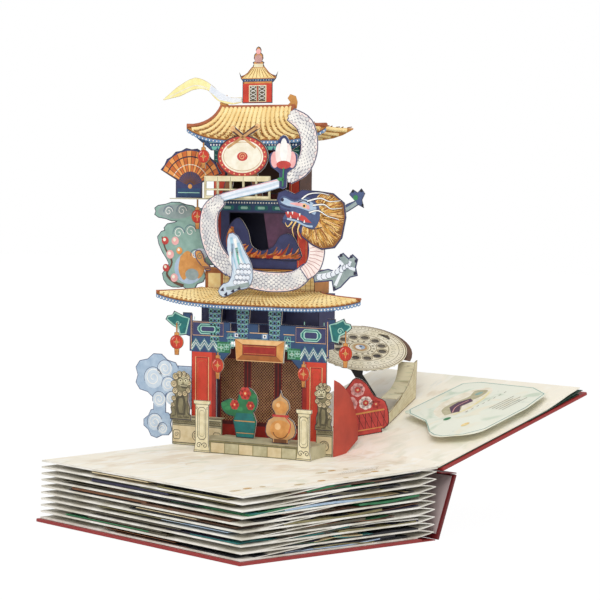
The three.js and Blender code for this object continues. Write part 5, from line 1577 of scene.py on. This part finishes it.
class POPUP_OT_ornaments(bpy.types.Operator):
    """Prints the ornaments between the buildings"""

    bl_idname = "popup.ornaments"
    bl_label = "Ornaments"

    def execute(self, context):
        for node in ("peony_pot", "gourd_bottle", "folding_fan", "lotus", "peony_basket"):
            finish(node, card_stock())
        p = palace_print("peony_pot", "ink", "green", 0.7)
        for x, y in ((-54, 42), (-48, 48), (-40, 42), (-34, 54), (-26, 44), (-24, 56), (-58, 46)):
            p.fill(circle(x, y, 3.4, 10, 2.2), "leaf")
        p.fill([(-43, 14), (-25, 14), (-22.6, 29), (-26, 38), (-44, 38), (-46.8, 29)], "teal").up()
        p.line([(-46, 30), (-23, 30)], 0.9, "gold").line([(-44, 18), (-24, 18)], 0.7, "gold")
        for x, y, r in ((-34, 58, 6.4), (-46, 46, 5.0), (-28, 46, 4.4)):
            for k in range(6):
                a = k * math.pi / 3
                p.fill(circle(*polar(x, y, r * 0.55, a), r * 0.5, 10), "rose")
            p.up().fill(circle(x, y, r * 0.5, 10), "red").up().fill(circle(x, y, r * 0.2, 8), "gold_light")
            p.layer -= 2
        p.done()
        p = palace_print("gourd_bottle", "ink", "tan", 0.8)
        p.fill(circle(15, 27, 11.6, 20, 9.4), "gold").fill(circle(15, 49, 7, 16, 6.4), "gold").up()
        p.line([(6, 40.5), (24, 40.5)], 2.2, "rose").line(arc(15, 27, 8.6, 200, 340, 10), 0.9, "brown")
        p.fill(circle(12, 30, 3.4, 12), "gold_light").fill(circle(12.4, 51, 2.2, 10), "gold_light")
        p.line(bend([(20, 40), (26, 33), (24, 24)], 5), 1.0, "rose").fill(rect(8, 14, 22, 17.6), "brown")
        p.done()

        p = palace_print("drum", "ink", "brown", 0.8)
        p.fill(circle(-48, 292, 27.6, 32, 19.6), "rose").up()
        p.fill(circle(-48, 292, 23.6, 32, 16.2), "cream").up()
        p.line(circle(-48, 292, 21.4, 32, 14.2), 0.5, "tan", closed=True)
        for i in range(26):
            a = 2 * math.pi * i / 26
            p.fill(circle(-48 + 25.6 * math.cos(a), 292 + 17.9 * math.sin(a), 0.85, 8), "gold_light")
        p.fill(circle(-48, 292, 6, 20, 4.4), "rose").up()
        p.line(spiral(-48, 292, 4, 1.6, 0, 18), 0.6, "gold_light")
        for a, b in (((-65, 300.4), (-31, 321.4)), ((-33, 300.6), (-59, 319.4))):
            p.line([a, b], 2.6, "tan").fill(circle(*b, 2.8, 12), "gold_light")
        p.done()

        p = palace_print("folding_fan", "ink", "navy", 0.8)
        pivot = (-118, 262)
        first, spread, blades = 0.37, 2.31, 14
        for i in range(blades):
            a0, a1 = first + i * spread / blades, first + (i + 1) * spread / blades
            blade = [polar(*pivot, r, a) for r, a in ((15, a0), (36, a0), (36, a1), (15, a1))]
            p.fill(blade, "fin_light" if i % 2 else "fin")
        p.up()
        for i in range(blades + 1):
            a = first + i * spread / blades
            p.line([polar(*pivot, 4, a), polar(*pivot, 35.6, a)], 0.7, "brown")
        for r, width, tone in ((30, 1.2, "ink"), (22, 0.7, "cream")):
            p.line([polar(*pivot, r, 0.4 + k * 2.26 / 20) for k in range(21)], width, tone)
        p.fill(rect(-133, 251.4, -106, 260), "blue").up()
        p.line([(-132, 255.6), (-107, 255.6)], 0.8, "mint")
        p.fill(circle(*pivot, 2.4, 12), "gold")
        p.done()

        p = palace_print("lotus", "cloud_ink", "navy", 0.8)
        for x, y, rx, ry, tone in ((-10, 289, 4.4, 8, "pink"), (9, 289, 4.4, 8, "pink"),
                                   (-5, 295, 4.4, 10, "belly"), (4, 295, 4.4, 10, "belly"),
                                   (0, 298, 4.2, 12, "white")):
            p.fill(circle(x, y, rx, 16, ry), tone).up()
        p.fill(circle(0, 284, 8, 16, 4), "rose").up()
        p.line([(0, 281), (-1, 263)], 1.6, "leaf")
        p.fill(circle(-3, 270, 4, 12, 1.8), "leaf")
        p.done()

        p = Print("peony_basket_print", RIGHT, BASKET, 0, slot=SLOT_OF["peony_basket"])
        p.card("peony_basket", "maroon", "rose", 0.9)
        p.fill([(-17, 5), (17, 5), (22, 14), (21, 24), (-22, 24), (-22, 13)], "rose").up()
        for i in range(7):
            p.line([(-20 + 6.4 * i, 7), (-17 + 6.4 * i, 23)], 0.6, "maroon")
            p.line([(-14 + 6 * i, 7), (-19 + 6 * i, 23)], 0.5, "maroon")
        p.line([(-22, 24), (21.6, 24)], 1.6, "gold").line([(-18, 6), (17, 6)], 1.0, "gold")
        for x, y, r, tone in ((-12, 36, 8, "pink"), (4, 34, 7.4, "belly"), (-2, 49, 7.6, "pink"),
                              (14, 31, 6, "rose"), (-18, 29, 5, "pink")):
            for k in range(7):
                a = k * 2 * math.pi / 7
                p.fill(circle(*polar(x, y, r * 0.52, a), r * 0.46, 10), tone)
            p.up().fill(circle(x, y, r * 0.42, 12), "rose").up().fill(circle(x, y, r * 0.16, 8), "gold_light")
            p.layer -= 2
        p.done()
        return {"FINISHED"}


# Dial


class POPUP_OT_dial(bpy.types.Operator):
    """Prints the sky dial with its rings, windows and scalloped wheel"""

    bl_idname = "popup.dial"
    bl_label = "Sky dial"

    def execute(self, context):
        s = context.scene.popup_dial
        face = printed("dial_ivory", tuple(s.face), linear("E6D9B4"), 0.7, 40.0)
        ring = printed("dial_ring", tuple(s.ring), linear("8A744C"), 0.6, 90.0)
        finish("dial_face", face)
        wheel = printed("dial_wheel_print", linear("6F675C"), linear("3F3B3E"), 0.9, 55.0)
        finish("dial_wheel", wheel)
        finish("dial_carrier", ink("bark"))
        finish("dial_legs", ink("deep"))
        finish("dial_wall", gradient_wash("wall_grain", linear("E4DAB8"), (
            (linear("8C7B4E"), 0.52, 0.75), (linear("AEB58E"), 0.5, 0.5), (linear("6F5E3C"), 0.62, 0.7)),
            (1.0, 1.0, 7.0), 22.0))
        p = Print("dial_face_print", RIGHT, DIAL, 0.9, flat=True, slot="ivory_card")
        for r, width, tone in ((48.8, 1.1, ring), (46.4, 0.5, ring), (41.6, 0.5, ring), (30.6, 0.8, ring),
                               (17.6, 0.6, ring), (11.6, 0.9, ring)):
            p.line(circle(0, 0, r, 72), width, tone, closed=True)
        marks, beads, windows = 72, 28, 12
        for i in range(marks):
            a = 2 * math.pi * i / marks
            inner = 43.4 if i % 6 else 41.8
            p.line([polar(0, 0, inner, a), polar(0, 0, 46.2, a)], 0.55, ring)
        for i in range(beads):
            a = 2 * math.pi * (i + 0.5) / beads
            p.line(arc(*polar(0, 0, 36, a), 2.3, 0, 300, 8), 0.5, "olive")
        for i in range(windows):
            a = 2 * math.pi * i / windows
            p.line(circle(*polar(0, 0, 24, a), 5.4, 18), 0.8, ring, closed=True)
        p.fill(circle(0, 0, 9.6, 28), "dust").up()
        p.fill(circle(0, 0, 7.4, 28), "tan").up().fill(circle(0, 0, 5.2, 24), "cloud").up()
        p.fill(arc(0, 0, 5.2, 60, 240, 14), "white").fill(circle(1.4, 0.6, 1.6, 12), "cloud_ink")
        p.done()
        across, wall_turn = 153.8, 0.38
        wall = moved(across, 24.9, across * math.tan(OPENING) + 0.3) @ Matrix.Rotation(wall_turn, 4, "Z")
        wall = RIGHT_PAGE @ Matrix.Rotation(OPENING, 4, "Y") @ wall
        p = Print("dial_wall_print", RIGHT, wall, 0, slot="ivory_card")
        p.card("dial_wall", "brown", "ivory", 0.7)
        for i in range(9):
            h = 3 + 4.2 * i
            left = -60 + 5.5 * i
            p.line(bend([(left, h - 22 + 2.4 * i), ((left - 2) / 2, h - 7), (-2, h)], 6), 0.4, "dust")
        p.done()
        return {"FINISHED"}


# Stage


# The floor lies this far under the case, in metres
FLOOR_DROP = 0.0006

# Where the camera stands, and its axes
CAMERA_PLACE = (-1.24560600, -1.30472379, 0.28817704)
CAMERA_RIGHT = Vector((0.72164609, -0.69132793, 0.03595295))
CAMERA_UP = Vector((0.04074558, 0.09426317, 0.99471315))
CAMERA_AHEAD = Vector((0.69106202, 0.71636593, -0.09619321))


class POPUP_OT_stage(bpy.types.Operator):
    """Sets the pale floor and backdrop, the soft lamps and the camera"""

    bl_idname = "popup.stage"
    bl_label = "Stage"

    def execute(self, context):
        s = context.scene.popup_stage
        material = bpy.data.materials.new("floor_paper")
        material.use_nodes = True
        nodes, link = material.node_tree.nodes, material.node_tree.links.new
        surface, out = nodes["Principled BSDF"], nodes["Material Output"]
        surface.inputs["Base Color"].default_value = (*s.floor, 1)
        surface.inputs["Roughness"].default_value = 0.9
        surface.inputs["Specular IOR Level"].default_value = 0.0
        glow, mix = nodes.new("ShaderNodeEmission"), nodes.new("ShaderNodeMixShader")
        path, seen = nodes.new("ShaderNodeLightPath"), nodes.new("ShaderNodeMath")
        seen.operation, seen.inputs[1].default_value = "MULTIPLY", 0.95
        glow.inputs["Strength"].default_value = 1.03
        link(path.outputs["Is Camera Ray"], seen.inputs[0])
        link(seen.outputs["Value"], mix.inputs["Fac"])
        link(surface.outputs["BSDF"], mix.inputs[1])
        link(glow.outputs["Emission"], mix.inputs[2])
        link(mix.outputs["Shader"], out.inputs["Surface"])
        corners = [(x, y, -FLOOR_DROP) for x, y in rect(-s.reach, -s.reach, s.reach, s.reach)]
        floor = plain_piece("floor", corners, [(0, 1, 2, 3)], [material])
        context.scene.collection.objects.link(floor)

        world = context.scene.world or bpy.data.worlds.new("studio")
        context.scene.world = world
        world.use_nodes = True
        sky = world.node_tree.nodes["Background"]
        sky.inputs["Color"].default_value = (1, 1, 1, 1)
        make, join = world.node_tree.nodes.new, world.node_tree.links.new
        ray, level = make("ShaderNodeLightPath"), make("ShaderNodeMath")
        level.operation = "MULTIPLY_ADD"
        level.inputs[1].default_value, level.inputs[2].default_value = 1 - s.world, s.world
        join(ray.outputs["Is Camera Ray"], level.inputs[0])
        join(level.outputs["Value"], sky.inputs["Strength"])

        for name, place, aim, watts, width in (
            ("key_lamp", (-1.3, -0.9, 1.7), (0.05, 0, 0.2), s.key, 1.5),
            ("fill_lamp", (0.9, -1.6, 1.1), (0.1, 0, 0.15), s.key * s.fill, 1.6),
        ):
            lamp = bpy.data.lights.new(name, "AREA")
            lamp.energy, lamp.size = watts, width
            holder = bpy.data.objects.new(name, lamp)
            holder.location = place
            holder.rotation_euler = (Vector(aim) - Vector(place)).to_track_quat("-Z", "Y").to_euler()
            context.scene.collection.objects.link(holder)

        lens = bpy.data.cameras.new("camera")
        lens.sensor_width, lens.lens = 36.0, 114.0
        lens.shift_x, lens.shift_y = 0.0833, 0.1883
        lens.clip_start, lens.clip_end = 0.05, 30
        camera = bpy.data.objects.new("camera", lens)
        turn = Matrix((CAMERA_RIGHT, CAMERA_UP, -CAMERA_AHEAD)).transposed().to_4x4()
        camera.matrix_world = Matrix.Translation(CAMERA_PLACE) @ turn
        context.scene.collection.objects.link(camera)
        context.scene.camera = camera
        context.scene.view_settings.view_transform = "Standard"
        return {"FINISHED"}


# Panel and registration


class POPUP_PT_panel(bpy.types.Panel):
    """Lists the pieces of the pop-up book and their settings"""

    bl_idname = "POPUP_PT_panel"
    bl_label = "Pop-up book"
    bl_space_type = "VIEW_3D"
    bl_region_type = "UI"
    bl_category = "Pop-up Book"

    def draw(self, context):
        for title, group, steps in PARTS:
            box = self.layout.box()
            box.label(text=title)
            settings = getattr(context.scene, group)
            for name in settings.__annotations__:
                box.prop(settings, name)
            for step in steps:
                box.operator("popup." + step)


PARTS = (
    ("Case", "popup_case", ("case",)),
    ("Pages", "popup_pages", ("pages",)),
    ("Palace", "popup_palace", ("terrace", "gate", "roofs", "storeys", "lanterns", "clouds", "ornaments")),
    ("Dragon", "popup_dragon", ("dragon",)),
    ("Sky dial", "popup_dial", ("dial",)),
    ("Stage", "popup_stage", ("stage",)),
)
SETTINGS = (
    ("popup_case", CaseSettings), ("popup_pages", PageSettings), ("popup_palace", PalaceSettings),
    ("popup_dragon", DragonSettings), ("popup_dial", DialSettings), ("popup_stage", StageSettings),
)
CLASSES = (
    CaseSettings, PageSettings, PalaceSettings, DragonSettings, DialSettings, StageSettings,
    POPUP_OT_case, POPUP_OT_pages, POPUP_OT_terrace, POPUP_OT_gate, POPUP_OT_roofs, POPUP_OT_storeys,
    POPUP_OT_lanterns, POPUP_OT_clouds, POPUP_OT_dragon, POPUP_OT_ornaments, POPUP_OT_dial, POPUP_OT_stage,
    POPUP_PT_panel,
)


def register():
    for cls in CLASSES:
        bpy.utils.register_class(cls)
    for name, settings in SETTINGS:
        setattr(bpy.types.Scene, name, PointerProperty(type=settings))


def unregister():
    for name, _ in SETTINGS:
        delattr(bpy.types.Scene, name)
    for cls in reversed(CLASSES):
        bpy.utils.unregister_class(cls)


def main():
    register()
    for _, _, steps in PARTS:
        for step in steps:
            getattr(bpy.ops.popup, step)()


if __name__ == "__main__":
    main()
